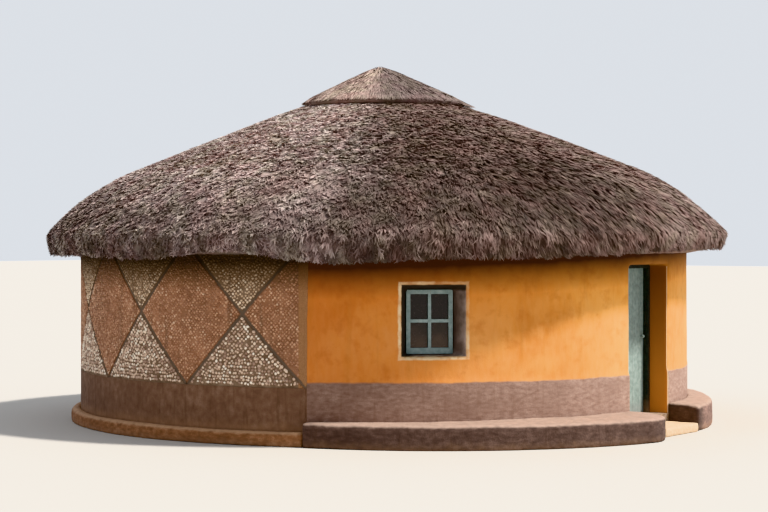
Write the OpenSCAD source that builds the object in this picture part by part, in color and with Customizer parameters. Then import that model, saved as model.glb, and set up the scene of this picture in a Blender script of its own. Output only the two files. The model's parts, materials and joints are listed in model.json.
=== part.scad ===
// A round hut with a thick clay wall, sitting ledges beside its door, and a
// domed thatched roof carried by straight poles. The door faces -Y, the ground
// is z = 0, and the axis of the round wall is the Z axis. Sizes are millimetres.
// An azimuth is counted from the door, and grows towards +X.

/* [Wall] */
// Radius of the outer face of the wall
wall_r = 4000; // [3600:50:4400]
// Thickness of the wall
wall_t = 400; // [360:10:450]
// Height of the wall's top above the ground
wall_h = 2460; // [2400:10:2600]
// Azimuth at which the smooth plaster ends and the pebbled wall begins
plaster_a = 67.5; // [64:0.5:75]
// Number of pieces that the pebbled wall is made in
back_count = 5; // [4:1:6]
// Number of panels with an X on each of those pieces
panels = 2; // [1:1:3]
// Height above the ground at which the channels of an X cross
cross_h = 1500; // [1350:10:1650]
// Width of a channel
channel_w = 45; // [25:1:70]
// Depth of a channel
channel_d = 8; // [4:1:15]

/* [Plinth and kerb] */
// Height of the smoothed band below the plaster
front_band_h = 730; // [600:10:800]
// Height of the smoothed band below the pebbles
back_band_h = 660; // [550:10:700]
// How far both bands stand proud of the wall
band_proud = 10; // [5:1:30]
// Height of the low clay kerb round the back
kerb_h = 170; // [120:5:220]
// Width of the kerb
kerb_w = 120; // [80:5:180]
// Radius of the kerb's rounded top edge
kerb_round = 60; // [30:5:70]

/* [Sitting ledges] */
// Height of the ledges
bench_h = 300; // [240:10:400]
// Width of the left ledge beside the door
bench_w_left = 750; // [600:10:800]
// Width of the right ledge beside the door
bench_w_right = 420; // [300:10:600]
// Width of both ledges at their far end
bench_w_end = 170; // [120:10:250]
// Distance from the doorway to the left ledge
bench_gap = 50; // [0:10:100]
// Radius of the rounded top edge of the ledges
bench_round = 50; // [25:5:80]
// How much lower the ledge is at its outer edge
bench_fall = 15; // [0:1:30]

/* [Floor and step] */
// Height of the floor above the ground
floor_h = 200; // [150:10:240]
// Height of the stone in front of the door
step_h = 110; // [80:5:140]
// Width of that stone
step_w = 860; // [600:10:940]
// Depth of that stone
step_d = 430; // [300:10:500]

/* [Doorway] */
// Width of the doorway in the wall
door_w = 980; // [900:10:1100]
// Height of the doorway's head above the ground
door_head = 2050; // [1950:10:2100]
// How far the frame stands back from the wall's face
door_recess = 275; // [160:5:290]
// Width of a frame post
post_w = 50; // [50:5:90]
// Depth of a frame post
post_d = 90; // [80:5:120]
// Depth of the step in the frame that the leaf closes into
rebate_d = 55; // [50:1:60]
// Width of that step
rebate_w = 12; // [8:1:16]

/* [Door leaf] */
// Number of upright boards
board_count = 6; // [5:1:8]
// Thickness of the boards
board_t = 25; // [18:1:28]
// Thickness of the cross pieces behind the boards
ledge_t = 25; // [16:1:28]
// Width of the cross pieces
ledge_w = 110; // [80:5:140]
// How far the leaf stands open at rest, in degrees
door_ajar = 2; // [2:1:20]
// Radius of the hinge pins
pin_r = 6; // [5:0.5:8]
// Distance of each cross piece's middle from the end of the boards
ledge_end = 230; // [150:10:300]
// Height of the door's knob above the floor
knob_h = 950; // [850:10:1100]

/* [Windows] */
// Azimuth of the middle of each window
win_a = 46.4; // [42:0.2:48]
// Width of the opening at the wall's face
win_w = 760; // [700:10:800]
// Width of the window frame
frame_w = 545; // [500:5:600]
// Height of the sill above the ground
win_sill = 1040; // [950:10:1100]
// Height of the window frame
win_h = 740; // [700:10:800]
// How far the head of the opening rises from the frame to the wall's face
win_rise = 70; // [0:5:80]
// How far the sill falls from the frame to the wall's face
win_fall = 20; // [0:5:50]
// How far the frame stands back from the wall's face
win_recess = 320; // [280:5:330]
// Depth of the window frame
frame_d = 60; // [45:5:70]
// Width of the frame's stiles and top rail
stile_w = 50; // [40:5:60]
// Width of the frame's bottom rail
bottom_rail = 70; // [50:5:90]
// Width of the two glazing bars
bar_w = 38; // [25:1:45]
// Thickness of the panes
pane_t = 4; // [3:0.5:6]

/* [Roof poles] */
// Slope of the rafters in degrees
pitch = 20.5; // [19:0.5:22]
// Number of rafters that reach the apex
main_count = 12; // [8:1:12]
// Radius of a rafter
rafter_r = 45; // [35:1:46]
// Radius of the pole ring on top of the wall
plate_r = 40; // [30:1:50]
// Radius of a batten
batten_r = 15; // [10:1:20]
// Distance between one batten ring and the next
batten_step = 450; // [350:10:600]
// Radius of the block where the rafters meet
apex_r = 190; // [185:5:240]
// Height of that block
apex_h = 190; // [150:10:240]
// Distance from the axis to the top of a short rafter
short_r = 1300; // [1100:50:1800]

/* [Thatch] */
// How far the eave reaches past the wall
eave_out = 465; // [400:5:500]
// Radius of the eave's tip, and of the corner below it
eave_round = 70; // [40:5:100]
// Height of the tip's middle above the level underside
eave_tip_h = 275; // [220:5:320]
// How far the cut face below the tip leans inwards, in degrees
eave_lean = 28; // [10:1:45]
// How far the eave's lowest edge hangs below the wall's top
eave_drop = 315; // [280:5:340]
// Slope in degrees at which the shoulder ends above the eave
shoulder_slope = 49; // [44:1:52]
// Radius of the shoulder's curve, seen from the side
shoulder_r = 3000; // [2600:50:3400]
// Radius of the flatter curve above the shoulder
dome_r = 33000; // [25000:500:40000]
// Thickness of the thatch at the apex
apex_t = 385; // [360:5:410]
// Gap between the thatch and the wall's face
soffit_gap = 12; // [8:1:25]
// Radius of the straw cap
cap_r = 1100; // [900:10:1300]
// Height of the cap above the dome
cap_rise = 205; // [180:5:260]
// Thickness of the cap's lower edge
cap_edge = 45; // [30:5:70]

/* [Hidden] */
$fn = 256;

// Clearance between pieces that are seated on each other
seat = 0.3;
// Clearance round the moving leaf
swing_gap = 6;
// Gap between two boards of the leaf
board_gap = 3;
// Reach of a cutting block past what it cuts
past = 50;
// Facets of the small round pieces
fine = 48;

// Colours
ochre = [0.84, 0.53, 0.20];
pebble = [0.62, 0.45, 0.33];
mauve = [0.60, 0.47, 0.41];
dark_clay = [0.34, 0.22, 0.18];
red_clay = [0.55, 0.33, 0.20];
earth = [0.50, 0.40, 0.33];
sandstone = [0.85, 0.70, 0.52];
teal = [0.43, 0.58, 0.57];
iron = [0.28, 0.27, 0.26];
pole = [0.45, 0.33, 0.22];
straw_grey = [0.43, 0.36, 0.34];
straw = [0.72, 0.60, 0.44];

// Azimuth that the clearance takes up at the inner face of the wall
seat_a = seat / (wall_r - wall_t) * 180 / PI;

room_r = wall_r - wall_t;
band_r = wall_r + band_proud;
back_span = 360 - 2 * plaster_a;
back_a = back_span / back_count;
third_a = back_span / 3;

// Door: the frame stands in the wall, and the leaf closes into the frame's step
frame_y = -(wall_r - door_recess);
stop_y = frame_y + post_d - rebate_d;
leaf_y = stop_y + swing_gap - 1;
leaf_t = board_t + ledge_t;
leaf_w = door_w - 2 * post_w + 2 * rebate_w - 2 * swing_gap;
leaf_z = floor_h + swing_gap;
leaf_top = door_head - post_w + rebate_w - swing_gap;
knuckle_r = 2 * pin_r;
knuckle_h = 60;
lug_h = 12;
hinge_x = -leaf_w / 2 - 4;
hinge_y = frame_y + post_d + knuckle_r + 3;
ledge_zs = [leaf_z + ledge_end, leaf_top - ledge_end];

// Window: the glass lies behind the front half of the frame
pane_y = -(wall_r - win_recess) + frame_d / 2;
pane_edge = 8;

// Roof: each layer lies on the one below it, along the same slope
rise = tan(pitch);
plate_mid_r = wall_r - wall_t / 2;
plate_z = wall_h + seat + plate_r;
rafter_z0 = plate_z + (plate_r + seat + rafter_r) / cos(pitch);
batten_z0 = rafter_z0 + (rafter_r + seat + batten_r) / cos(pitch);
under_z0 = batten_z0 + (batten_r + seat) / cos(pitch);
soffit_r = wall_r + soffit_gap;
rafter_end = wall_r - rafter_r * sin(pitch) - seat;
rafter_top = apex_r + rafter_r * sin(pitch) + seat;
batten_count = floor((wall_r - 2 * apex_r) / batten_step);

// Arcs that run into each other without a corner: dome, shoulder and eave tip. Below the tip a
// cut face leans back to the corner of the level underside
eave_z = wall_h - eave_drop;
tip_c = [wall_r + eave_out - eave_round, eave_z + eave_tip_h];
corner_c = tip_c - (eave_tip_h - eave_round) * [tan(eave_lean), 1];
tip_a = 90 - shoulder_slope;
shoulder_c = tip_c - (shoulder_r - eave_round) * [cos(tip_a), sin(tip_a)];
dome_top = under_z(0) + apex_t;
dome_c = low_meeting([0, dome_top], dome_r, shoulder_c, dome_r - shoulder_r);
dome_a = atan2(shoulder_c[1] - dome_c[1], shoulder_c[0] - dome_c[0]);
tip_steps = 5;
corner_steps = 4;
shoulder_steps = 6;
dome_steps = 6;

// Height of a layer of the roof at a distance from the axis
function slope_z(z0, x) = z0 + (plate_mid_r - x) * rise;
function under_z(x) = slope_z(under_z0, x);
function dome_z(x) = dome_c[1] + sqrt(dome_r * dome_r - pow(x - dome_c[0], 2));

// Lower of the two points at distance ra from a and rb from b
function low_meeting(a, ra, b, rb) =
    let (d = norm(b - a))
    let (u = (b - a) / d)
    let (s = (d * d + ra * ra - rb * rb) / (2 * d))
    let (h = sqrt(ra * ra - s * s))
    a + s * u + h * (u[0] > 0 ? [u[1], -u[0]] : [-u[1], u[0]]);

// Points on an arc about c, from angle a0 to a1
function arc(c, r, a0, a1, steps) =
    [for (i = [0:steps]) let (a = a0 + (a1 - a0) * i / steps) c + r * [cos(a), sin(a)]];

// Turns a piece made at the door to another azimuth
module at_azimuth(a) {
    rotate([0, 0, a]) children();
}

// Turns a profile round the axis from azimuth a0 to a1, with room for the seat at its ends
module turned(a0, a1) {
    rotate([0, 0, a0 + seat_a / 2 - 90]) rotate_extrude(angle = a1 - a0 - seat_a) children();
}

// A stretch of wall with radii r0 and r1, from height z0 to z1
module ring_part(a0, a1, r0, r1, z0, z1) {
    turned(a0, a1) translate([r0, z0]) square([r1 - r0, z1 - z0]);
}

// An upright block that reaches through the wall at the door's azimuth
module through_wall(w, z0, z1) {
    reach = band_proud + bench_w_left + past;
    translate([-w / 2, -wall_r - reach, z0]) cube([w, wall_t + reach + past, z1 - z0]);
}

// The hollow that widens from the window frame to the wall's face, on all four sides
module window_splay() {
    mouth = win_recess + past;
    side = mouth * (win_w - frame_w) / 2 / win_recess;
    head = mouth * win_rise / win_recess;
    sill = mouth * win_fall / win_recess;
    translate([0, -wall_r + win_recess, win_sill]) intersection() {
        translate([0, 0, -sill - past])
            linear_extrude(win_h + head + sill + 2 * past)
                polygon([
                    [-frame_w / 2, 0],
                    [frame_w / 2, 0],
                    [frame_w / 2 + side, -mouth],
                    [-frame_w / 2 - side, -mouth]
                ]);
        rotate([90, 0, 90])
            translate([0, 0, -win_w])
                linear_extrude(2 * win_w)
                    polygon([[0, 0], [0, win_h], [-mouth, win_h + head], [-mouth, -sill]]);
    }
}

module ground_floor() {
    color(earth) union() {
        cylinder(r = room_r - seat, h = floor_h);
        intersection() {
            ring_part(-20, 20, room_r - past, wall_r, 0, floor_h);
            translate([0, seat, 0]) through_wall(door_w - 2 * seat, 0, floor_h);
        }
    }
}

// A worn slab, a little narrower at its top
module doorstep() {
    chamfer = 15;
    color(sandstone)
        translate([0, -wall_r - seat, 0])
            rotate([90, 0, 0])
                linear_extrude(step_d)
                    polygon([
                        [-step_w / 2, 0],
                        [step_w / 2, 0],
                        [step_w / 2, step_h - chamfer],
                        [step_w / 2 - chamfer, step_h],
                        [-step_w / 2 + chamfer, step_h],
                        [-step_w / 2, step_h - chamfer]
                    ]);
}

// Half of the front is made on the +X side, and side -1 mirrors it
module on_side(side) {
    mirror([side < 0 ? 1 : 0, 0, 0]) children();
}

// A ledge is widest beside the door: its outer face is round about a point nearer to the door
// than the hut's axis
module bench(side, w, gap) {
    near = band_r + w;
    far = band_r + bench_w_end;
    ahead = (near * near - far * far) / (2 * (near - far * cos(plaster_a)));
    outer = near - ahead;
    color(mauve) on_side(side) difference() {
        intersection() {
            translate([0, -ahead, 0]) rotate_extrude()
                polygon(concat(
                    [[0, 0], [outer, 0]],
                    arc([outer - bench_round, bench_h - bench_fall - bench_round], bench_round, 0, 90, 6),
                    [[outer - w, bench_h], [0, bench_h]]
                ));
            ring_part(0, plaster_a, band_r + seat, near + past, 0, bench_h + past);
        }
        through_wall(door_w + 2 * gap, -past, bench_h + past);
    }
}

module plinth_front(side) {
    color(mauve) on_side(side) difference() {
        ring_part(0, plaster_a, room_r, band_r, 0, front_band_h);
        through_wall(door_w, -past, front_band_h + past);
    }
}

// Azimuth at which a third of the back starts, from the right round to the left
function third_start(i) = plaster_a + (i - 1) * third_a;

module plinth(i) {
    color(dark_clay)
        ring_part(third_start(i), third_start(i + 1), room_r, band_r, 0, back_band_h);
}

module kerb(i) {
    inner = band_r + seat;
    outer = band_r + kerb_w;
    color(red_clay) turned(third_start(i), third_start(i + 1))
        polygon(concat(
            [[inner, 0], [outer, 0]],
            arc([outer - kerb_round, kerb_h - kerb_round], kerb_round, 0, 90, 6),
            [[inner, kerb_h]]
        ));
}

module wall_over_door() {
    color(ochre) intersection() {
        ring_part(-20, 20, room_r, wall_r, door_head, wall_h);
        through_wall(door_w, door_head, wall_h);
    }
}

// Wall between the doorway and the window
module wall_front(side) {
    color(ochre) on_side(side) difference() {
        ring_part(0, win_a, room_r, wall_r, front_band_h + seat, wall_h);
        through_wall(door_w, front_band_h - past, wall_h + past);
        at_azimuth(win_a) through_wall(frame_w, front_band_h - past, wall_h + past);
        at_azimuth(win_a) window_splay();
    }
}

// Wall between the window and the end of the plaster
module wall_side(side) {
    color(ochre) on_side(side) difference() {
        ring_part(win_a, plaster_a, room_r, wall_r, front_band_h + seat, wall_h);
        at_azimuth(win_a) through_wall(frame_w, front_band_h - past, wall_h + past);
        at_azimuth(win_a) window_splay();
    }
}

// Wall below or above the window, from height z0 up to z1
module wall_at_window(side, z0, z1) {
    color(ochre) on_side(side) at_azimuth(win_a) difference() {
        intersection() {
            ring_part(-10, 10, room_r, wall_r, z0, z1);
            through_wall(frame_w, z0, z1);
        }
        window_splay();
    }
}

// Azimuth at which a piece of the pebbled wall starts, from the right round to the left
function back_start(i) = plaster_a + (i - 1) * back_a;

// Wall set with pebbles. Smooth channels cross on it, one X on each panel
module wall_back(i) {
    a0 = back_start(i);
    panel_a = back_a / panels;
    color(pebble) difference() {
        ring_part(a0, back_start(i + 1), room_r, wall_r, back_band_h + seat, wall_h);
        for (k = [0:panels - 1])
            at_azimuth(a0 + (k + 0.5) * panel_a) crossed_channels(panel_a);
    }
}

// Two channels that run from the lower corners of a panel through its crossing
module crossed_channels(panel_a) {
    half_w = wall_r * sin(panel_a / 2);
    lean = atan2(half_w, cross_h - back_band_h);
    length = 2 * (cross_h - back_band_h) / cos(lean);
    intersection() {
        ring_part(-panel_a / 2, panel_a / 2, wall_r - channel_d, wall_r + past, back_band_h, wall_h + past);
        for (turn = [-lean, lean])
            translate([0, -wall_r, cross_h])
                rotate([0, turn, 0])
                    cube([channel_w, wall_r, length * 1.2], center = true);
    }
}

module door_frame() {
    w = door_w - 2 * seat;
    top = door_head - seat;
    color(teal) difference() {
        translate([-w / 2, frame_y, floor_h + seat])
            cube([w, post_d, top - floor_h - seat]);
        translate([-door_w / 2 + post_w, frame_y - past, floor_h - past])
            cube([door_w - 2 * post_w, post_d + 2 * past, door_head - post_w - floor_h + past]);
        translate([-door_w / 2 + post_w - rebate_w, stop_y, floor_h - past])
            cube([
                door_w - 2 * post_w + 2 * rebate_w,
                rebate_d + past,
                door_head - post_w + rebate_w - floor_h + past
            ]);
    }
}

// Holds the leaf's pieces at the angle at which the door stands at rest
module swung() {
    translate([hinge_x, hinge_y, 0])
        rotate([0, 0, door_ajar])
            translate([-hinge_x, -hinge_y, 0]) children();
}

module door_boards() {
    pitch_w = (leaf_w + board_gap) / board_count;
    color(teal) swung()
        for (i = [0:board_count - 1])
            translate([-leaf_w / 2 + i * pitch_w, leaf_y, leaf_z])
                cube([pitch_w - board_gap, board_t, leaf_top - leaf_z]);
}

module door_ledges() {
    inset = 40;
    color(teal) swung()
        for (z = ledge_zs)
            translate([-leaf_w / 2 + inset, leaf_y + board_t, z - ledge_w / 2])
                cube([leaf_w - 2 * inset, ledge_t, ledge_w]);
}

// Straps on the inner side of the leaf, with the eyes that turn on the pins
module door_hinges() {
    strap_t = 5;
    strap_w = 36;
    strap_l = 330;
    strap_y = leaf_y + leaf_t;
    color(iron) swung()
        for (z = ledge_zs)
            difference() {
                union() {
                    translate([hinge_x, hinge_y, z - knuckle_h / 2])
                        cylinder(r = knuckle_r, h = knuckle_h, $fn = fine);
                    translate([hinge_x + pin_r + 3, strap_y, z - strap_w / 2])
                        cube([strap_l, strap_t, strap_w]);
                    translate([hinge_x + pin_r + 3, strap_y, z - strap_w / 2])
                        cube([knuckle_r - pin_r, hinge_y - strap_y, strap_w]);
                }
                translate([hinge_x, hinge_y, z - knuckle_h])
                    cylinder(r = pin_r + seat, h = 2 * knuckle_h, $fn = fine);
            }
}

// A lug on the post below each eye, with the pin that stands on it
module hinge_pins() {
    lug_w = door_w / 2 - seat + hinge_x + knuckle_r;
    lug_y = frame_y + post_d;
    color(iron)
        for (z = ledge_zs)
            union() {
                translate([hinge_x - lug_w + knuckle_r, lug_y, z - knuckle_h / 2 - 1 - lug_h])
                    cube([lug_w, hinge_y + knuckle_r - lug_y, lug_h]);
                translate([hinge_x, hinge_y, z - knuckle_h / 2 - 1 - lug_h])
                    cylinder(r = pin_r, h = knuckle_h + lug_h + 6, $fn = fine);
            }
}

// Pull plate and round knob on the outer side, near the free edge
module door_latch() {
    plate_h = 150;
    plate_w = 40;
    plate_t = 4;
    knob_r = 22;
    z = floor_h + knob_h;
    x = leaf_w / 2 - 75;
    color(iron) swung() union() {
        translate([x - plate_w / 2, leaf_y - plate_t, z - plate_h / 2])
            cube([plate_w, plate_t, plate_h]);
        translate([x, leaf_y - 1, z])
            rotate([90, 0, 0])
                rotate_extrude($fn = fine)
                    polygon([
                        [0, 0],
                        [9, 0],
                        [9, 22],
                        [knob_r, 30],
                        [knob_r, 38],
                        [14, 46],
                        [0, 46]
                    ]);
    }
}

// Height of the panes' lower edges, and the size of one pane's hole
pane_w = (frame_w - 2 * stile_w - bar_w) / 2;
pane_h = (win_h - stile_w - bottom_rail - bar_w) / 2;
function pane_x(i) = (i == 0 ? -1 : 1) * (bar_w + pane_w) / 2;
function pane_z(j) = win_sill + bottom_rail + pane_h / 2 + j * (pane_h + bar_w);

// A block as wide and as high as one pane, grown by edge on every side
module pane_block(i, j, y0, y1, edge) {
    translate([pane_x(i) - pane_w / 2 - edge, y0, pane_z(j) - pane_h / 2 - edge])
        cube([pane_w + 2 * edge, y1 - y0, pane_h + 2 * edge]);
}

module window_frame(side) {
    y0 = -(wall_r - win_recess);
    color(teal) on_side(side) at_azimuth(win_a) difference() {
        translate([-frame_w / 2 + seat, y0, win_sill])
            cube([frame_w - 2 * seat, frame_d, win_h]);
        for (i = [0, 1], j = [0, 1]) {
            pane_block(i, j, y0 - past, y0 + frame_d + past, 0);
            pane_block(i, j, pane_y, y0 + frame_d + past, pane_edge);
        }
    }
}

module window_panes(side) {
    color([0.25, 0.28, 0.28]) on_side(side) at_azimuth(win_a)
        for (i = [0, 1], j = [0, 1])
            pane_block(i, j, pane_y + seat, pane_y + seat + pane_t, pane_edge - seat);
}

// Bent poles laid end to end on the wall
module wall_plate() {
    color(pole)
        for (i = [0:3])
            turned(90 * i + 45, 90 * i + 135)
                translate([plate_mid_r, plate_z]) circle(r = plate_r, $fn = fine);
}

// A straight pole from the eave up to a distance from the axis
module rafter(top_r) {
    foot_z = slope_z(rafter_z0, rafter_end);
    length = (rafter_end - top_r) / cos(pitch);
    translate([0, -rafter_end, foot_z])
        rotate([pitch - 90, 0, 0])
            cylinder(r = rafter_r, h = length, $fn = fine);
}

module rafters() {
    step_a = 360 / main_count;
    color(pole)
        for (i = [0:main_count - 1]) {
            at_azimuth(step_a * (i + 0.5)) rafter(rafter_top);
            at_azimuth(step_a * i) rafter(short_r);
        }
}

module battens() {
    color(pole)
        for (i = [0:batten_count - 1]) {
            x = wall_r - 150 - i * batten_step;
            rotate_extrude() translate([x, slope_z(batten_z0, x)]) circle(r = batten_r, $fn = 24);
        }
}

module apex_block() {
    top = under_z(apex_r) - seat;
    color(pole) translate([0, 0, top - apex_h]) cylinder(r = apex_r, h = apex_h);
}

// Section of the thatch: dome, shoulder, eave tip, cut face, level underside and sloping inner face
function thatch_section() =
    let (rim_a = atan2(dome_z(cap_r) - dome_c[1], cap_r - dome_c[0]))
    let (shoulder_step = (tip_a - dome_a) / shoulder_steps)
    let (tip_step = (-eave_lean - tip_a) / tip_steps)
    concat(
        [[0, under_z(0)], [0, cap_seat_z()]],
        arc(dome_c, dome_r, rim_a, dome_a, dome_steps),
        arc(shoulder_c, shoulder_r, dome_a + shoulder_step, tip_a, shoulder_steps - 1),
        arc(tip_c, eave_round, tip_a + tip_step, -eave_lean, tip_steps - 1),
        arc(corner_c, eave_round, -eave_lean, -90, corner_steps),
        [[soffit_r, eave_z], [soffit_r, under_z(soffit_r)]]
    );

// Under the cap the dome ends in a plain cone
function cap_seat_z() = dome_z(cap_r) + cap_r * tan(pitch - 4);

module thatch(i) {
    color(straw_grey) turned(90 * i - 45, 90 * i + 45) polygon(thatch_section());
}

module thatch_cap() {
    rim_z = dome_z(cap_r) + seat;
    color(straw) rotate_extrude()
        polygon([
            [0, cap_seat_z() + seat],
            [cap_r, rim_z],
            [cap_r, rim_z + cap_edge * 0.7],
            [cap_r - cap_edge * 0.6, rim_z + cap_edge],
            [0, dome_top + cap_rise]
        ]);
}

ground_floor();  // floor
doorstep();
bench(-1, bench_w_left, bench_gap);  // bench_left
bench(1, bench_w_right, 0);  // bench_right
plinth_front(-1);  // plinth_front_left
plinth_front(1);  // plinth_front_right
plinth(1);  // plinth_right
plinth(2);  // plinth_back
plinth(3);  // plinth_left
kerb(1);  // kerb_right
kerb(2);  // kerb_back
kerb(3);  // kerb_left
wall_over_door();
wall_front(-1);  // wall_front_left
wall_front(1);  // wall_front_right
wall_at_window(-1, front_band_h + seat, win_sill);  // wall_under_window_left
wall_at_window(1, front_band_h + seat, win_sill);  // wall_under_window_right
wall_at_window(-1, win_sill + win_h, wall_h);  // wall_over_window_left
wall_at_window(1, win_sill + win_h, wall_h);  // wall_over_window_right
wall_side(-1);  // wall_side_left
wall_side(1);  // wall_side_right
wall_back(1);  // wall_back_1
wall_back(2);  // wall_back_2
wall_back(3);  // wall_back_3
wall_back(4);  // wall_back_4
wall_back(5);  // wall_back_5
door_frame();
hinge_pins();
door_boards();
door_ledges();
door_hinges();
door_latch();
window_frame(-1);  // window_frame_left
window_frame(1);  // window_frame_right
window_panes(-1);  // window_panes_left
window_panes(1);  // window_panes_right
wall_plate();
rafters();
battens();
apex_block();
thatch(0);  // thatch_front
thatch(1);  // thatch_right
thatch(2);  // thatch_back
thatch(3);  // thatch_left
thatch_cap();
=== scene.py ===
# %% [markdown]
# # A round thatched hut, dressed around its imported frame
# The frame gives every wall, pole and board at its real size. This lesson adds what a maker's
# hands add: clay smoothed by palm, pebbles pressed into it, paint, and thousands of grass stems.
# Everything is in metres. The door faces -Y, and an azimuth is counted from it towards +X.

# %% Load the frame
import itertools
import json
import math

import bmesh
import bpy
import numpy as np
from mathutils.bvhtree import BVHTree
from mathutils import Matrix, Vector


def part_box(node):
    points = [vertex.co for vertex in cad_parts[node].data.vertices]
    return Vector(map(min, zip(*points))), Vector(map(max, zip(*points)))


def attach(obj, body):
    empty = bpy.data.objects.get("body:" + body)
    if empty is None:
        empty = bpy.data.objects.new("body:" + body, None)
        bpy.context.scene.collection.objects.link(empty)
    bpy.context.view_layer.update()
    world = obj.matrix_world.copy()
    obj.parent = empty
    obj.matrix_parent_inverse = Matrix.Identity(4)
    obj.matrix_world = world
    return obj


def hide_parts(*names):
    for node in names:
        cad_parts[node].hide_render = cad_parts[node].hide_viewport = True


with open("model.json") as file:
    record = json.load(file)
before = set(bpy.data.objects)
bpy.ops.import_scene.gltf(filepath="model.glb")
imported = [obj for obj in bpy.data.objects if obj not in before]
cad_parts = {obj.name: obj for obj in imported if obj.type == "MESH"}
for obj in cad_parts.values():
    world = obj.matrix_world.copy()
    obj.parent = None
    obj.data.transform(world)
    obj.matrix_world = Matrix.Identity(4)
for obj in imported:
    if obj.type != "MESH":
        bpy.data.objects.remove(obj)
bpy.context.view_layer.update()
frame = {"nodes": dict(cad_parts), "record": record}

nodes = frame["nodes"]
scene = bpy.context.scene

# %% [markdown]
# ## Sizes that the frame already holds
# The hut is round, so its main sizes are radii. A radius could be typed again here, but then the
# two models could drift apart. Each one is read from the box or the points of a CAD node instead.

# %% Read radii and heights from the frame
def radii(name):
    """Distance of each point of a CAD node from the hut's axis, and its height."""
    points = np.array([v.co for v in nodes[name].data.vertices])
    return np.hypot(points[:, 0], points[:, 1]), points[:, 2]

wall_r = radii("wall_back_1")[0].max()
wall_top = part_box("wall_back_1")[1].z
band_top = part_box("plinth_back")[1].z
front_band_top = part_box("plinth_front_left")[1].z
eave_r = radii("thatch_back")[0].max()
eave_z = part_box("thatch_back")[0].z
cap_r = radii("thatch_cap")[0].max()
cap_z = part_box("thatch_cap")[0].z
apex_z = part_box("thatch_cap")[1].z
print(f"wall radius {wall_r:.3f} up to {wall_top:.3f}, eave radius {eave_r:.3f} down to {eave_z:.3f}")

# %% [markdown]
# ## Camera and studio
# The photograph was taken from the left of the door, a little above eye level and a good way off,
# so a long lens shows the hut at that angle without bending it. A low warm lamp from the right
# gives the eave its slanting shadow on the plaster, and a pale sky fills the shaded side.

# %% Objects in the scene
def new_object(name, data):
    """Puts a camera, lamp or mesh into the scene."""
    thing = bpy.data.objects.new(name, data)
    scene.collection.objects.link(thing)
    return thing

# %% Camera
CAMERA_AZIMUTH = math.radians(-54.6)
CAMERA_DISTANCE = 26.25
CAMERA_HEIGHT = 2.404
AIM_HEIGHT = 2.13
LENS_MM = 92

camera = new_object("camera", bpy.data.cameras.new("camera"))
camera.data.lens = LENS_MM
camera.location.x = math.sin(CAMERA_AZIMUTH) * CAMERA_DISTANCE
camera.location.y = -math.cos(CAMERA_AZIMUTH) * CAMERA_DISTANCE
camera.location.z = CAMERA_HEIGHT
tilt = math.atan2(AIM_HEIGHT - CAMERA_HEIGHT, CAMERA_DISTANCE)
camera.rotation_euler = (math.pi / 2 + tilt, 0, CAMERA_AZIMUTH)
scene.camera = camera
print("camera at", camera.location)

# %% Lamp and sky
KEY_AZIMUTH = math.radians(18.4)
KEY_HEIGHT = math.radians(58)

light = bpy.data.lights.new("key_lamp", "SUN")
light.energy = 6.0
light.angle = math.radians(6)
light.color = (1.0, 0.94, 0.86)
new_object("key_lamp", light).rotation_euler = (math.pi / 2 - KEY_HEIGHT, 0, KEY_AZIMUTH)

scene.world = bpy.data.worlds.new("studio")
scene.world.use_nodes = True
sky = scene.world.node_tree.nodes["Background"].inputs
sky["Color"].default_value = (0.90, 0.94, 1.0, 1)
sky["Strength"].default_value = 0.85
scene.view_settings.view_transform = "Khronos PBR Neutral"

# %% [markdown]
# ## Formulas that build a node tree
# A material is a graph of nodes, and written out node by node it fills pages. Here a field is one
# output of a node that knows its own tree. Ordinary arithmetic on a field adds the Math nodes, so
# the finishes further down read like formulas and not like wiring.

# %% Fields
def sign(operation, swapped=False):
    """A method that adds a Math node. It is swapped where the field stands after a number."""
    def method(field, *others):
        values = (*others, field) if swapped else (field, *others)
        return add(field.tree, "ShaderNodeMath", dict(enumerate(values)), operation=operation)
    return method

class Field:
    """One output of a node: a value, place or colour that changes over the surface."""

    def __init__(self, tree, socket):
        self.tree = tree
        self.socket = socket

    def math(self, operation, *others):
        """A Math node that has no sign of its own in Python."""
        return sign(operation)(self, *others)

    def __neg__(self):
        return self * -1.0

    __add__ = sign("ADD")
    __sub__ = sign("SUBTRACT")
    __mul__ = sign("MULTIPLY")
    __truediv__ = sign("DIVIDE")
    __lt__ = sign("LESS_THAN")
    __gt__ = sign("GREATER_THAN")
    __abs__ = sign("ABSOLUTE")
    __rsub__ = sign("SUBTRACT", swapped=True)
    __rtruediv__ = sign("DIVIDE", swapped=True)

# %% Nodes
def add(tree, kind, inputs, output=0, **settings):
    """Adds a node. Fields are joined to its inputs, and numbers are set on them."""
    node = tree.nodes.new(kind)
    for name, value in settings.items():
        setattr(node, name, value)
    for name, value in inputs.items():
        if isinstance(value, Field):
            tree.links.new(value.socket, node.inputs[name])
        else:
            node.inputs[name].default_value = value
    return Field(tree, node.outputs[output])

def vector_math(operation, first, second=(0, 0, 0), output=0):
    """One step of arithmetic on places or directions."""
    return add(first.tree, "ShaderNodeVectorMath", {0: first, 1: second}, output, operation=operation)

def parts(vector):
    """The x, y and z of a place or direction."""
    split = add(vector.tree, "ShaderNodeSeparateXYZ", {0: vector}).socket.node
    return [Field(vector.tree, socket) for socket in split.outputs]

def facing(where):
    """The x, y and z of the way that the surface faces."""
    return parts(add(where.tree, "ShaderNodeNewGeometry", {}, "Normal"))

def azimuth_of(where):
    """Azimuth round the hut's axis, from the door towards +X."""
    x, y, _ = parts(where)
    return x.math("ARCTAN2", -y)

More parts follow.
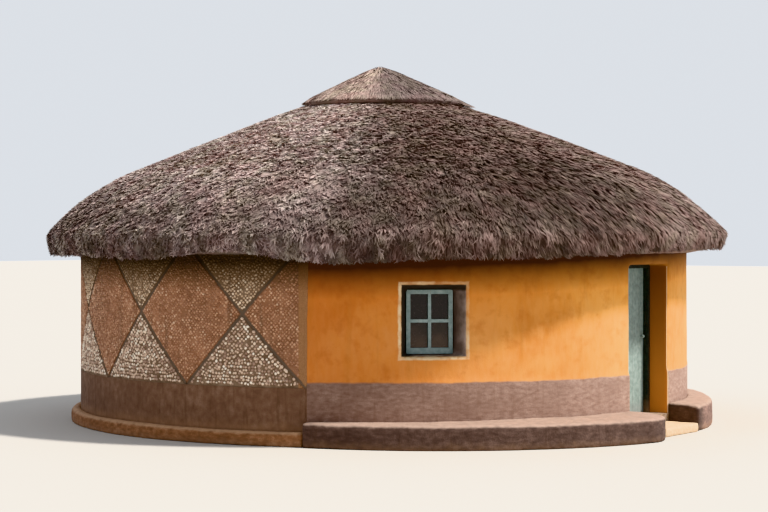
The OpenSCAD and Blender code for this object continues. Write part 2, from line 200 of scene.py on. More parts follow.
# %% Masks, colours and noise
def fade(value, first, last, start=0.0, end=1.0, smooth=False):
    """Goes from start to end as the value goes from first to last, whichever of these is higher."""
    limits = {"From Min": first, "From Max": last, "To Min": start, "To Max": end}
    return add(value.tree, "ShaderNodeMapRange", {"Value": value, **limits},
               interpolation_type="SMOOTHSTEP" if smooth else "LINEAR")

def ramp(value, stops):
    """Turns a value into a colour. Stops are (place, colour), and a colour may be one grey number."""
    colour = add(value.tree, "ShaderNodeValToRGB", {"Fac": value}, "Color")
    elements = colour.socket.node.color_ramp.elements
    while len(elements) < len(stops):
        elements.new(0.5)
    for element, (position, tone) in zip(elements, stops):
        element.position = position
        element.color = (*tone, 1) if hasattr(tone, "__len__") else (tone, tone, tone, 1)
    return colour

def blend(amount, low, high, mode="MIX"):
    """Mixes two colours, each a field or three numbers, by a field or a number."""
    tree = next(value.tree for value in (amount, low, high) if isinstance(value, Field))
    low, high = [side if isinstance(side, Field) else (*side, 1) for side in (low, high)]
    return add(tree, "ShaderNodeMix", {0: amount, 6: low, 7: high}, 2, data_type="RGBA", blend_type=mode)

def noise(where, scale, detail=4.0, stretch=(1, 1, 1), rough=0.55):
    """Noise over places, finer as scale grows, and squeezed along an axis by stretch."""
    scales = [scale * s for s in stretch]
    spread = add(where.tree, "ShaderNodeMapping", {"Vector": where, "Scale": scales})
    settings = {"Vector": spread, "Scale": 1.0, "Detail": detail, "Roughness": rough}
    return add(where.tree, "ShaderNodeTexNoise", settings, "Fac")

# %% Node groups
def new_group(name, inputs, effect):
    """A node group. Inputs are names with first values, and effect turns them into named outputs."""
    tree = bpy.data.node_groups.new(name, "ShaderNodeTree")
    for label, value in inputs.items():
        kind = "NodeSocketVector" if hasattr(value, "__len__") else "NodeSocketFloat"
        tree.interface.new_socket(label, in_out="INPUT", socket_type=kind).default_value = value
    given = tree.nodes.new("NodeGroupInput").outputs
    results = effect(*[Field(tree, given[label]) for label in inputs])
    for label in results:
        tree.interface.new_socket(label, in_out="OUTPUT", socket_type="NodeSocketFloat")
    out = tree.nodes.new("NodeGroupOutput").inputs
    for label, field in results.items():
        tree.links.new(field.socket, out[label])
    print(f"shared effect {name} puts out {', '.join(results)}")
    return tree

def place(group, where, **values):
    """Puts a node group into the tree of where, and returns its outputs by name."""
    node = add(where.tree, "ShaderNodeGroup", {"Where": where, **values}, node_tree=group).socket.node
    return {socket.name: Field(where.tree, socket) for socket in node.outputs}

# %% Materials
def new_material(name, roughness):
    """A material without colour yet, and the piece's own coordinates."""
    material = bpy.data.materials.new(name)
    material.use_nodes = True
    material.node_tree.nodes["Principled BSDF"].inputs["Roughness"].default_value = roughness
    return material, add(material.node_tree, "ShaderNodeTexCoord", {}, "Object")

def complete(material, colour, height, depth, strength, **more):
    """Joins a colour, a relief of some depth in metres and any other fields to the shader."""
    tree = material.node_tree
    shader = tree.nodes["Principled BSDF"].inputs
    relief = {"Height": height, "Distance": depth, "Strength": strength}
    normal = add(tree, "ShaderNodeBump", relief, "Normal")
    for label, field in {"Base Color": colour, "Normal": normal, **more}.items():
        tree.links.new(field.socket, shader[label])
    return material

# %% [markdown]
# ## Effects that several finishes share
# Clay, stone and wood all show cloudy patches, rain marks and dust, only in other amounts. Each of
# these effects is one node group, which is built once. It puts out a mask, and each material
# decides what colour that mask brings.

# %% Shared effect: cloudy patches
def scaled(where, size):
    """Places in steps of size, so that the same noise comes out that much larger."""
    return add(where.tree, "ShaderNodeVectorMath", {0: where, 3: 1 / size}, operation="SCALE")

def patchy(where, size):
    """Patches at three sizes, from broad clouds to grit, each round 0.5."""
    near = scaled(where, size)
    return {"Clouds": noise(near, 1.1, 3.0), "Mottle": noise(near, 7.0, 5.0), "Grit": noise(near, 90.0, 3.0)}

patches = new_group("patches", {"Where": (0, 0, 0), "Size": 1.0}, patchy)

# %% Shared effect: rain streaks
def streaky(where, width):
    """Marks that run straight down, as rain leaves them."""
    lines = noise(scaled(where, width), 1.0, 4.0, stretch=(1, 1, 0.09))
    return {"Streaks": fade(lines, 0.52, 0.72, smooth=True)}

rain_streaks = new_group("rain_streaks", {"Where": (0, 0, 0), "Width": 0.06}, streaky)

def rained_on(base, where, width, amount, colour):
    """The base with rain streaks of a colour on it."""
    return blend(place(rain_streaks, where, Width=width)["Streaks"] * amount, base, colour)

# %% Shared effect: dust and splashes near a level
def splashed(where, level, reach):
    """1 at a level, fading over a reach above it, with a ragged upper edge."""
    ragged = noise(where, 9.0, 6.0) * reach + parts(where)[2]
    return {"Mask": fade(ragged, reach * 1.5 + level, reach * 0.5 + level, smooth=True)}

splash = new_group("splash", {"Where": (0, 0, 0), "Level": 0.0, "Reach": 0.3}, splashed)

# %% Shared effect: worn edges
def edge_wear(where, reach):
    """Finds the arrises: there a softly bevelled normal differs from the true one."""
    soft = add(where.tree, "ShaderNodeBevel", {"Radius": reach}, samples=4)
    true = add(where.tree, "ShaderNodeNewGeometry", {}, "Normal")
    turned = (1.0 - vector_math("DOT_PRODUCT", soft, true, "Value")) * 6.0
    return {"Mask": fade(turned * (noise(where, 40.0, 5.0) * 2.0), 0.25, 0.75)}

worn_edges = new_group("worn_edges", {"Where": (0, 0, 0), "Reach": 0.006}, edge_wear)

# %% Shared effect: the side that faces away
def turned_away(where, towards, raggedness):
    """From 0 on the side that faces towards to 1 on the far side, with a ragged middle."""
    around = vector_math("NORMALIZE", vector_math("MULTIPLY", where, (1, 1, 0)))
    away = vector_math("DOT_PRODUCT", around, towards, "Value") * -0.5 + 0.5
    return {"Mask": (noise(where, 1.6, 8.0, rough=0.7) - 0.5) * raggedness + away}

facing_away = new_group(
    "facing_away", {"Where": (0, 0, 0), "Towards": (0, -1, 0), "Raggedness": 0.3}, turned_away)

# %% Shared effect: painted shade under the eave
def eave_shade_mask(where, raised):
    """Painted shade: 1 right under the grass, where the eave shades the wall, and 0 a forearm's length below.
    It reaches lower towards -X, where the eave hangs full."""
    x, _, z = parts(where)
    ragged = noise(where, 5.0, 4.0) * 0.06 + z - raised + x * -0.040
    return {"Mask": fade(ragged, 1.85, 2.20)}

painted_eave_shade = new_group("painted_eave_shade", {"Where": (0, 0, 0), "Raised": 0.0}, eave_shade_mask)

def eave_shaded(base, where):
    """The base of the mosaic, with painted shade under the eave. The grass hangs a little higher there."""
    return blend(place(painted_eave_shade, where, Raised=0.09)["Mask"], base, (0.10, 0.075, 0.05), "MULTIPLY")

# %% [markdown]
# ## Ochre plaster
# The front is smoothed clay washed with yellow earth. It isn't one colour: each palm stroke leaves a tone and
# rain darkens the foot. The top is brownish under the eave and the side towards -X is darker, both painted
# shade. A painted texture would be quick, but procedural strokes stay sharp at any distance. The pale line
# round each window and the band along the foot are painted too, so they are masks here and not pieces.

# %% Clay colour, from three tones
def clay_colour(where, tones, streak_colour, streak_amount=0.5, level=1.0):
    """Mottled earth, and its patches. Tones are dark, middle and light. A level over 1 flattens mottles."""
    dark, middle, light = tones
    wiped = add(where.tree, "ShaderNodeMapping", {"Vector": where, "Scale": (1, 1, level)})
    cloud = place(patches, wiped, Size=0.6)
    base = ramp(cloud["Mottle"], [(0.30, dark), (0.50, middle), (0.72, light)])
    base = blend(ramp(cloud["Clouds"], [(0.35, 0.45), (0.6, 0.0)]), base, dark)
    specks = ramp(place(patches, where, Size=1.3)["Grit"], [(0.36, 0.5), (0.48, 0.0)])
    return rained_on(blend(specks, base, dark), where, 0.05, streak_amount, streak_colour), cloud

def waver(where, scale, width):
    """A small shift that makes a line uncertain, as a hand does."""
    return (noise(where, scale, 3.0) - 0.5) * width

# %% The wash of yellow earth
def ochre_wash(where, cloud, strokes, painted_side_shade):
    """Palm strokes over broad clouds. Painted shade makes the wash darker towards -X and dark brown right
    under the eave, and a warmer tone up the wall is painted warm light in the eave's shade.
    """
    base = ramp(cloud["Clouds"], [(0.30, (0.66, 0.290, 0.066)), (0.5, (0.79, 0.395, 0.107)),
                                  (0.72, (0.84, 0.462, 0.148))])
    base = blend(ramp(strokes, [(0.35, 0.0), (0.75, 0.45)]), base, (0.84, 0.50, 0.19))
    base = blend(ramp(cloud["Mottle"], [(0.30, 0.45), (0.48, 0.0)]), base, (0.58, 0.23, 0.050))
    base = blend(painted_side_shade, base, (0.68, 0.47, 0.44), "MULTIPLY")
    base = rained_on(base, where, 0.10, 0.22, (0.40, 0.15, 0.03))
    # Painted light: a warmer, more orange tone towards the top of the wall, for warm light in the eave's
    # shade.
    base = blend(fade(parts(where)[2], 1.25, 2.0), base, (1.0, 0.83, 0.58), "MULTIPLY")
    # Painted shade: near-black brown right under the eave.
    return blend(place(painted_eave_shade, where)["Mask"], base, (0.045, 0.010, 0.002))

# %% The mauve band along the foot
MAUVE = ((0.26, 0.165, 0.13), (0.36, 0.245, 0.20), (0.45, 0.325, 0.27))
MAUVE_STREAKS = (0.22, 0.13, 0.09)

def foot_band(base, where, painted_side_shade):
    """The mauve band painted over the base, with a ragged upper edge."""
    mauve, _ = clay_colour(where, MAUVE, MAUVE_STREAKS, 0.3, 2.6)
    # Painted shade: the band is darker towards -X.
    mauve = blend(painted_side_shade, mauve, (0.62, 0.57, 0.55), "MULTIPLY")
    edge = noise(where, 3.0, 6.0) * 0.05 + parts(where)[2]
    return blend(fade(edge, front_band_top + 0.036, front_band_top + 0.012), base, mauve)

# %% The doorway's two upright sides
door_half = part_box("door_frame")[1].x
door_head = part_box("wall_over_door")[0].z

def doorway(base, where):
    """One colour beside the door, darker towards the top, and a thin line rubbed pale along its corners."""
    x, y, z = parts(where)
    normal = facing(where)
    beside = (abs(normal[0]) > 0.75) * (abs(x) < door_half + 0.02) * (y < 0.0)
    reveal_colour = ramp(z / 2.0, [(0.30, (0.52, 0.20, 0.045)), (0.95, (0.20, 0.062, 0.014))])
    base = blend(beside, base, reveal_colour)
    corner = fade(abs(abs(x) - (door_half + 0.006) + waver(where, 9.0, 0.014)), 0.012, 0.004)
    rubbed = corner * (z < door_head - 0.03) * (normal[1] < -0.6)
    return blend(rubbed * 0.65, base, (0.80, 0.62, 0.42))

# %% Where the windows are
WINDOW_LINE = 0.028
WINDOW_MOUTH = 0.38
MOUTH_FALL = 0.020
MOUTH_RISE = 0.070

sill_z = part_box("wall_under_window_left")[1].z
head_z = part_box("wall_over_window_left")[0].z
mouth_low, mouth_high = sill_z - MOUTH_FALL, head_z + MOUTH_RISE
mouth_middle, mouth_half = (mouth_low + mouth_high) / 2, (mouth_high - mouth_low) / 2
frame_low, frame_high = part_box("window_frame_right")
frame_middle = (frame_low + frame_high) / 2
window_azimuth = math.atan2(frame_middle.x, -frame_middle.y)
print(f"windows at {math.degrees(window_azimuth):.1f} degrees")
print(f"their mouths from {mouth_low:.2f} to {mouth_high:.2f} m")

# %% The windows' splay and painted line
def window(base, where, cloud):
    """Greyish clay inside a window's mouth, with painted shade that darkens it further in, at the top and on
    the side away from the door, and a pale line. Both windows lie alike, so x is folded over, and the side is
    positive away from the door."""
    x, y, z = parts(where)
    side = abs(x) * math.cos(window_azimuth) + y * math.sin(window_azimuth)
    beyond = (abs(side) - WINDOW_MOUTH).math("MAXIMUM", abs(z - mouth_middle) - mouth_half)
    bare = ramp(cloud["Mottle"], [(0.35, (0.22, 0.17, 0.145)), (0.65, (0.38, 0.30, 0.265))])
    # Painted shade: the splay darkens further in, and is near black at the top and on its side away from the
    # door.
    bare = blend(fade(beyond, -0.02, -0.10), bare, (0.45, 0.42, 0.42), "MULTIPLY")
    splay_shade = fade(side, 0.20, 0.27).math("MAXIMUM", fade(z, head_z - 0.02, head_z + 0.01)) * 0.92
    base = blend(fade(beyond, 0.0, -0.008), base, blend(splay_shade, bare, (0.022, 0.017, 0.014)))
    wavy = beyond + waver(where, 12.0, 0.03)
    line = fade(wavy, -0.012, 0.0) * fade(wavy, WINDOW_LINE + 0.010, WINDOW_LINE - 0.006)
    kept = fade(side, -0.1, 0.4, 0.35).math("MAXIMUM", fade(z, 1.5, 1.1, 0.35))
    kept = ramp(cloud["Mottle"], [(0.35, 0.35), (0.55, 1.0)]) * kept
    return blend(line * kept, base, (0.72, 0.54, 0.33))

# %% The plaster itself
def ochre_plaster():
    """Wash, foot band, doorway and windows, over a relief of strokes and grit."""
    material, where = new_material("ochre_plaster", 0.88)
    cloud = place(patches, where, Size=1.0)
    strokes = noise(where, 16.0, 5.0, stretch=(1, 1, 0.35))
    # Painted shade: the wall and its band get darker colours on the side towards -X, away from the lamp.
    side = place(facing_away, where, Towards=(1, 0, 0), Raggedness=0.22)["Mask"]
    painted_side_shade = ramp(side, [(0.55, 0.0), (0.95, 1.0)])
    base = foot_band(ochre_wash(where, cloud, strokes, painted_side_shade), where, painted_side_shade)
    base = window(doorway(base, where), where, cloud)
    return complete(material, base, strokes * 0.5 + cloud["Grit"] * 0.25, 0.012, 0.55)

# %% [markdown]
# ## Clay bands, ledges and kerb
# The lower bands are the same clay in other earths: mauve-brown by the door, dark brown round the
# back, red-brown on the kerb. One function makes them all from three tones, because only the tones,
# the streaks, the dust and the colour on top differ.

# %% One clay, several earths
def clay(name, tones, dust, dust_level, streak_colour, top_colour=None, level=2.2, sunlit_past_door=None):
    """Hand-smoothed clay. Dust rises from a level, and what faces up can have a colour of its own."""
    material, where = new_material(name, 0.9)
    base, cloud = clay_colour(where, tones, streak_colour, 0.45, level)
    base = blend(place(splash, where, Level=dust_level, Reach=0.16)["Mask"] * 0.5, base, dust)
    # Painted light: past the door the ledge is made paler, where the sun falls on it.
    if sunlit_past_door:
        base = blend(fade(parts(where)[0], 0.57, 0.75), base, sunlit_past_door, "MULTIPLY")
    if top_colour:
        ragged = (cloud["Mottle"] - 0.5) * 0.4 + facing(where)[2]
        top = ramp(cloud["Mottle"], [(0.3, tuple(0.78 * c for c in top_colour)), (0.6, top_colour)])
        base = blend(fade(ragged, 0.30, 0.75) * 0.92, base, top)
    palm = noise(where, 11.0, 6.0, stretch=(1, 1, 0.7))
    return complete(material, base, cloud["Grit"] * 0.3 + palm, 0.02, 0.6)

# %% [markdown]
# ## The bed of the mosaic
# Round the back, pebbles sit in clay of two colours: greyer in the upright triangles, orange-brown
# in the lozenges between them. The shader works out which one a point lies in from the azimuth and
# the height, with the same sums that the pebbles use further down, so bed and stones agree.

# %% Sizes of the mosaic
PLASTER_END = math.radians(67.5)
PANEL_COUNT = 10
CROSS_HEIGHT = 1.5
CHANNEL = 0.045
BORDER = 0.085

panel_angle = (math.tau - 2 * PLASTER_END) / PANEL_COUNT
panel_half = wall_r * math.sin(panel_angle / 2)
lean = math.atan2(panel_half, CROSS_HEIGHT - band_top)
print(f"panels of {math.degrees(panel_angle):.1f} degrees, channels lean {math.degrees(lean):.1f}")

# %% Shared effect: which part of a panel a point lies in
def panelled(where):
    """1 in the lozenges, 1 in the channels drawn along their sides, and 1 in the plain border."""
    azimuth = azimuth_of(where)
    turn = (azimuth - PLASTER_END) / panel_angle
    within = turn - turn.math("FLOOR") - 0.5
    aside = abs((within * panel_angle).math("SINE") * wall_r)
    height = abs(parts(where)[2] - CROSS_HEIGHT)
    off = (aside - height * math.tan(lean)) * math.cos(lean)
    off = (noise(where, 18.0) - 0.5) * 0.03 + off
    return {
        "Lozenge": fade(off, -0.01, 0.01),
        "Channel": fade(abs(off), CHANNEL / 2 - 0.001, CHANNEL / 2 - 0.011),
        "Border": fade(abs(azimuth) - PLASTER_END, BORDER / wall_r + 0.002, BORDER / wall_r - 0.002),
    }

panel_parts = new_group("panel_parts", {"Where": (0, 0, 0)}, panelled)

# %% The clay between the pebbles
def pebbled_clay():
    """Olive clay, rust in the lozenges, dark in the channels and brown in the border."""
    material, where = new_material("pebbled_clay", 0.92)
    cloud = place(patches, where, Size=0.7)
    part = place(panel_parts, where)
    olive = ramp(cloud["Mottle"], [(0.3, (0.165, 0.110, 0.074)), (0.7, (0.29, 0.205, 0.142))])
    rust = ramp(cloud["Mottle"], [(0.3, (0.25, 0.120, 0.070)), (0.7, (0.40, 0.210, 0.128))])
    base = blend(part["Lozenge"], olive, rust)
    base = blend(fade(parts(where)[2], 1.75, 2.05) * 0.6, base, (0.34, 0.21, 0.12))
    base = blend(ramp(cloud["Clouds"], [(0.4, 0.4), (0.62, 0.0)]), base, (0.12, 0.075, 0.05))
    base = rained_on(base, where, 0.08, 0.4, (0.10, 0.06, 0.04))
    edge = ramp(cloud["Grit"], [(0.35, (0.24, 0.124, 0.064)), (0.62, (0.37, 0.200, 0.106))])
    base = blend(part["Border"], base, edge)
    base = blend(part["Channel"] * 0.85, base, (0.125, 0.098, 0.078))
    # Painted shade under the eave darkens the clay near the top.
    return complete(material, eave_shaded(base, where), cloud["Grit"] * 0.5 + cloud["Mottle"], 0.015, 0.7)

# %% [markdown]
# ## Painted wood, iron and glass
# The door and the windows carry one teal paint, chalky with age. It has gone along the arrises and
# in thin lines where the grain has lifted, so two masks let grey wood show: worn edges, and grain
# stretched along the boards.

# %% Painted wood
def painted_wood(name, coats, bare_amount, foot_colour=(0.32, 0.22, 0.15)):
    """Chalky paint over grey wood. Coats are its dark, middle and light tone."""
    material, where = new_material(name, 0.7)
    cloud = place(patches, where, Size=0.35)
    grain = noise(where, 120.0, 6.0, stretch=(1, 1, 0.05))
    paint = ramp(cloud["Mottle"], list(zip((0.3, 0.5, 0.75), coats)))
    wood = ramp(grain, [(0.35, (0.13, 0.10, 0.08)), (0.65, (0.30, 0.25, 0.20))])
    edge = place(worn_edges, where, Reach=0.005)["Mask"]
    bare = edge.math("MAXIMUM", ramp(grain, [(0.63, 0.0), (0.70, 1.0)])) * bare_amount
    dirt = place(splash, where, Level=0.2, Reach=0.22)["Mask"] * 0.6
    base = blend(dirt, blend(bare, paint, wood), foot_colour)
    chalk = ramp(cloud["Grit"], [(0.3, 0.55), (0.7, 0.85)])
    return complete(material, base, grain, 0.003, 0.5, Roughness=chalk)

# %% Iron and glass
def iron():
    material, where = new_material("iron", 0.6)
    cloud = place(patches, where, Size=0.12)
    base = ramp(cloud["Mottle"], [(0.4, (0.045, 0.042, 0.040)), (0.62, (0.10, 0.058, 0.038))])
    bright = ramp(cloud["Mottle"], [(0.42, 0.85), (0.55, 0.1)])
    rough = ramp(cloud["Grit"], [(0.3, 0.45), (0.7, 0.8)])
    return complete(material, base, cloud["Grit"], 0.001, 0.6, Metallic=bright, Roughness=rough)

def pane_glass():
    """Dark glass with dust above the sill."""
    material, where = new_material("pane_glass", 0.12)
    cloud = place(patches, where, Size=0.3)
    dust = place(splash, where, Level=sill_z + 0.05, Reach=0.35)["Mask"] * 0.7
    clean = ramp(cloud["Mottle"], [(0.3, (0.012, 0.012, 0.012)), (0.7, (0.035, 0.028, 0.026))])
    base = blend(dust, clean, (0.13, 0.085, 0.06))
    rough = ramp(cloud["Mottle"], [(0.35, 0.08), (0.7, 0.35)])
    return complete(material, base, cloud["Clouds"], 0.002, 0.25, Roughness=rough)

# %% Poles, floor and step
def poles():
    material, where = new_material("poles", 0.8)
    mottle = place(patches, where, Size=0.3)["Mottle"]
    base = ramp(mottle, [(0.3, (0.10, 0.065, 0.04)), (0.7, (0.34, 0.23, 0.14))])
    return complete(material, base, mottle, 0.01, 0.5)

def earth_floor():
    """Smeared earth with faint rings, as a broom leaves them."""
    material, where = new_material("earth_floor", 0.85)
    cloud = place(patches, where, Size=0.5)
    rings = {"Vector": where, "Scale": 3.0, "Distortion": 9.0, "Detail": 3.0}
    swept = add(where.tree, "ShaderNodeTexWave", rings, "Fac", wave_type="RINGS", rings_direction="Z")
    base = ramp(cloud["Mottle"], [(0.3, (0.19, 0.13, 0.095)), (0.7, (0.38, 0.28, 0.20))])
    base = blend(swept * 0.25, base, (0.16, 0.11, 0.08))
    return complete(material, base, swept + cloud["Grit"], 0.004, 0.6)

def sandstone():
    material, where = new_material("sandstone", 0.85)
    mottle = place(patches, where, Size=0.25)["Mottle"]
    layers = noise(where, 30.0, 4.0, stretch=(0.3, 0.3, 2.0))
    base = ramp(mottle, [(0.3, (0.62, 0.42, 0.26)), (0.7, (0.86, 0.68, 0.48))])
    base = blend(ramp(layers, [(0.5, 0.0), (0.8, 0.5)]), base, (0.55, 0.33, 0.19))
    return complete(material, base, mottle + layers, 0.006, 0.6)

# %% [markdown]
# ## Grass
# Weathered thatch is grey with a mauve cast, dark in the gaps and pale at the tips. Part of the dark in the
# gaps is painted shade: the stems' roots and the coat below them get low tones. The tone of a stem isn't a
# texture: each stem carries its own number, from 0 for the darkest to 1 for the palest, as a mesh attribute.
# The shader only shifts that number and turns it into a colour.

# %% Which side of the roof is paler
def level_direction(degrees):
    """The level direction that points to an azimuth."""
    return math.sin(math.radians(degrees)), -math.cos(math.radians(degrees)), 0

DARK_SIDE = level_direction(-18)
COMBED_SIDE = level_direction(75)
GREY_SIDE = level_direction(-110)

def roof_sides(where):
    """How pale and how brushed the grass is: palest to the left of the door, in part as painted sheen, and
    smooth to its right.
    """
    dark = place(facing_away, where, Towards=DARK_SIDE, Raggedness=0.26)["Mask"]
    paler = ramp(dark, [(0.04, 0.0), (0.09, 0.06), (0.13, 0.30), (0.17, 0.62), (0.27, 1.0), (0.40, 0.96),
                        (0.56, 0.66)])
    grey = place(facing_away, where, Towards=GREY_SIDE, Raggedness=0.10)["Mask"]
    combed = place(facing_away, where, Towards=COMBED_SIDE, Raggedness=0.06)["Mask"]
    return paler * fade(grey, 0.60, 0.85, 1.0, 0.22), fade(combed, 0.50, 0.36, 0.0, 0.52)

# %% Grass finish
def straw_fibre(where, paler):
    """Fine fibres, combed down the slope on the dark side and tangled on the pale side."""
    radius = vector_math("LENGTH", vector_math("MULTIPLY", where, (1, 1, 0)), output="Value")
    down = {"X": azimuth_of(where) * 260.0, "Y": radius * 9.0, "Z": parts(where)[2] * 9.0}
    combed = noise(add(where.tree, "ShaderNodeCombineXYZ", down), 1.0, 3.0)
    return blend(paler, combed, noise(where, 62.0, 3.0))

def grass(name, sunny, sheltered, patch_colour, patch_amount):
    """Straw whose tone is the mesh's own attribute named tone, with one ramp for each side of the roof."""
    material, where = new_material(name, 0.85)
    paler, brushed = roof_sides(where)
    fibre = straw_fibre(where, paler)
    z = parts(where)[2]
    tone = add(where.tree, "ShaderNodeAttribute", {}, "Fac", attribute_name="tone")
    tone = (fibre - 0.5) * 0.30 + tone
    tone = brushed * (1.0 - paler) + tone
    # Painted shade: on the pale side the tone drops down the shoulder, where the roof turns away from the
    # light.
    shoulder = fade(z, eave_z + 1.0, eave_z + 0.35, 0.0, -0.37, smooth=True)
    tone = shoulder * paler + tone
    crown = fade(z, 3.00, 3.90)
    tone = crown * (paler * -0.42 + 0.60) + tone
    cut = fade(z, eave_z + 0.42, eave_z + 0.18, smooth=True)
    tone = cut * (paler * -0.26 + 0.22) + tone
    base = blend(paler, ramp(tone, sunny), ramp(tone, sheltered))
    broad = ramp(place(patches, where, Size=0.8)["Clouds"], [(0.40, 0.0), (0.62, 1.0)])
    base = blend(broad * patch_amount, base, patch_colour, "MULTIPLY")
    hue = ramp(noise(where, 4.0, 3.0), [(0.38, (1.0, 0.93, 0.95)), (0.5, (1.0, 1.0, 1.0)),
                                        (0.62, (0.94, 0.99, 0.92))])
    return complete(material, blend(1.0, base, hue, "MULTIPLY"), fibre, 0.006, 0.6)

# %% Make the finishes
BROWN_DUST = (0.40, 0.26, 0.17)
TEAL = ((0.22, 0.30, 0.295), (0.31, 0.40, 0.39), (0.42, 0.50, 0.49))
# Painted shade: the door's teal is a darker copy of the windows' teal, for the shade of the doorway.
SHADED_DOOR_TEAL = ((0.190, 0.250, 0.233), (0.245, 0.322, 0.303), (0.32, 0.400, 0.385))
# Painted shade: the door frame is near-black green, for the shade it stands in inside the doorway.
SHADED_FRAME_GREEN = ((0.010, 0.014, 0.012), (0.020, 0.028, 0.025), (0.045, 0.055, 0.050))
LEDGE_BROWN = ((0.055, 0.032, 0.026), (0.095, 0.058, 0.047), (0.15, 0.095, 0.078))
DARK_BROWN = ((0.135, 0.074, 0.050), (0.185, 0.107, 0.072), (0.245, 0.150, 0.106))
RED_BROWN = ((0.17, 0.075, 0.036), (0.29, 0.135, 0.068), (0.42, 0.22, 0.125))

finish = {
    "ochre_plaster": ochre_plaster(),
    "mauve_clay": clay("mauve_clay", MAUVE, BROWN_DUST, 0.0, MAUVE_STREAKS),
    "ledge_clay": clay("ledge_clay", LEDGE_BROWN, (0.22, 0.13, 0.08), -0.04, (0.05, 0.026, 0.018),
                       top_colour=(0.36, 0.255, 0.205), sunlit_past_door=(2.4, 2.4, 2.4)),
    "dark_clay": clay("dark_clay", DARK_BROWN, (0.34, 0.20, 0.12), 0.14, (0.085, 0.045, 0.028), level=1.0),
    "red_clay": clay("red_clay", RED_BROWN, BROWN_DUST, -0.05, (0.17, 0.08, 0.04),
                     top_colour=(0.46, 0.28, 0.17)),
    "pebbled_clay": pebbled_clay(),
    "teal_paint": painted_wood("teal_paint", TEAL, 0.6),
    "shaded_door_paint": painted_wood("shaded_door_paint", SHADED_DOOR_TEAL, 0.3, (0.25, 0.27, 0.26)),
    "frame_wood": painted_wood("frame_wood", SHADED_FRAME_GREEN, 0.25),
    "iron": iron(),
    "pane_glass": pane_glass(),
    "poles": poles(),
    "earth_floor": earth_floor(),
    "sandstone": sandstone(),
    "thatch": grass(
        "thatch",
        [(0.0, (0.030, 0.021, 0.018)), (0.35, (0.066, 0.045, 0.038)),
         (0.65, (0.118, 0.081, 0.070)), (1.0, (0.25, 0.182, 0.162))],
        [(0.0, (0.165, 0.126, 0.116)), (0.35, (0.355, 0.280, 0.260)),
         (0.65, (0.56, 0.462, 0.432)), (1.0, (0.74, 0.645, 0.61))],
        (0.78, 0.70, 0.66), 0.6),
    "cap_straw": grass(
        "cap_straw",
        [(0.45, (0.030, 0.019, 0.016)), (0.80, (0.112, 0.079, 0.071)),
         (0.95, (0.170, 0.126, 0.117)), (1.0, (0.195, 0.147, 0.136))],
        [(0.20, (0.055, 0.035, 0.028)), (0.57, (0.22, 0.153, 0.128)),
         (0.84, (0.38, 0.282, 0.244)), (1.0, (0.49, 0.385, 0.33))],
        (0.85, 0.80, 0.80), 0.5),
}
print("finishes:", len(finish))

# %% Dress the CAD nodes that keep their own shape
record_slots = {part["node"]: part["material_slot"] for part in frame["record"]["subparts"]}
# The door's boards, ledges and latch take the darker, shaded copy of the teal paint.
shaded_door_paint = {node: "shaded_door_paint" for node in ("door_boards", "door_ledges", "door_latch")}
for name, obj in nodes.items():
    obj.data.materials.clear()
    obj.data.materials.append(finish[shaded_door_paint.get(name, record_slots[name])])

# %% [markdown]
# ## Making pieces from arrays
# Thousands of stems and stones are far too many for one object each, and even a loop over them is
# slow. Here a whole family of shapes is worked out at once with numpy, and written into one mesh.

# %% Directions round the hut
UP = np.array([0.0, 0.0, 1.0])

def outward(azimuth):
    """Unit vectors that point away from the hut's axis."""
    return np.stack([np.sin(azimuth), -np.cos(azimuth), np.zeros_like(azimuth)], -1)

def sideways(azimuth):
    """Unit vectors along a level circle, towards growing azimuth."""
    return np.stack([np.cos(azimuth), np.sin(azimuth), np.zeros_like(azimuth)], -1)

def round_hut(azimuth, radius, height):
    """Points at an azimuth, a distance from the axis and a height."""
    return outward(azimuth) * radius[..., None] + UP * height[..., None]

def nearness(azimuth, centre, width):
    """1 at an azimuth, falling off on both sides of it like a bell."""
    return np.exp(-(np.angle(np.exp(1j * (azimuth - centre))) / width) ** 2)

# %% Mesh helpers
def new_piece(name, points, faces, slot, tone=None, smooth=True):
    """One mesh object. Faces is an array with the same number of corners in each row."""
    points = np.asarray(points, np.float32).reshape(-1, 3)
    faces = np.asarray(faces, np.int32)
    starts = np.arange(0, faces.size, faces.shape[1], dtype=np.int32)
    mesh = bpy.data.meshes.new(name)
    mesh.vertices.add(len(points))
    mesh.vertices.foreach_set("co", points.ravel())
    mesh.loops.add(faces.size)
    mesh.loops.foreach_set("vertex_index", faces.ravel())
    mesh.polygons.add(len(faces))
    mesh.polygons.foreach_set("loop_start", starts)
    mesh.polygons.foreach_set("use_smooth", np.full(len(faces), smooth))
    mesh.update(calc_edges=True)
    if tone is not None:
        attribute = mesh.attributes.new("tone", "FLOAT", "POINT")
        attribute.data.foreach_set("value", np.asarray(tone, np.float32).ravel())
    return finished(new_object(name, mesh), slot)

def finished(piece, slot):
    """Gives a piece its finish and lets it ride on the hut."""
    piece.data.materials.clear()
    piece.data.materials.append(finish[slot])
    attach(piece, "hut")
    triangles = sum(len(p.vertices) - 2 for p in piece.data.polygons)
    print(f"{piece.name}: {triangles} triangles")
    return piece

# %% Smooth lumps, for everything made by hand
LUMP_TABLE = np.random.default_rng(5).uniform(-1, 1, 4096)

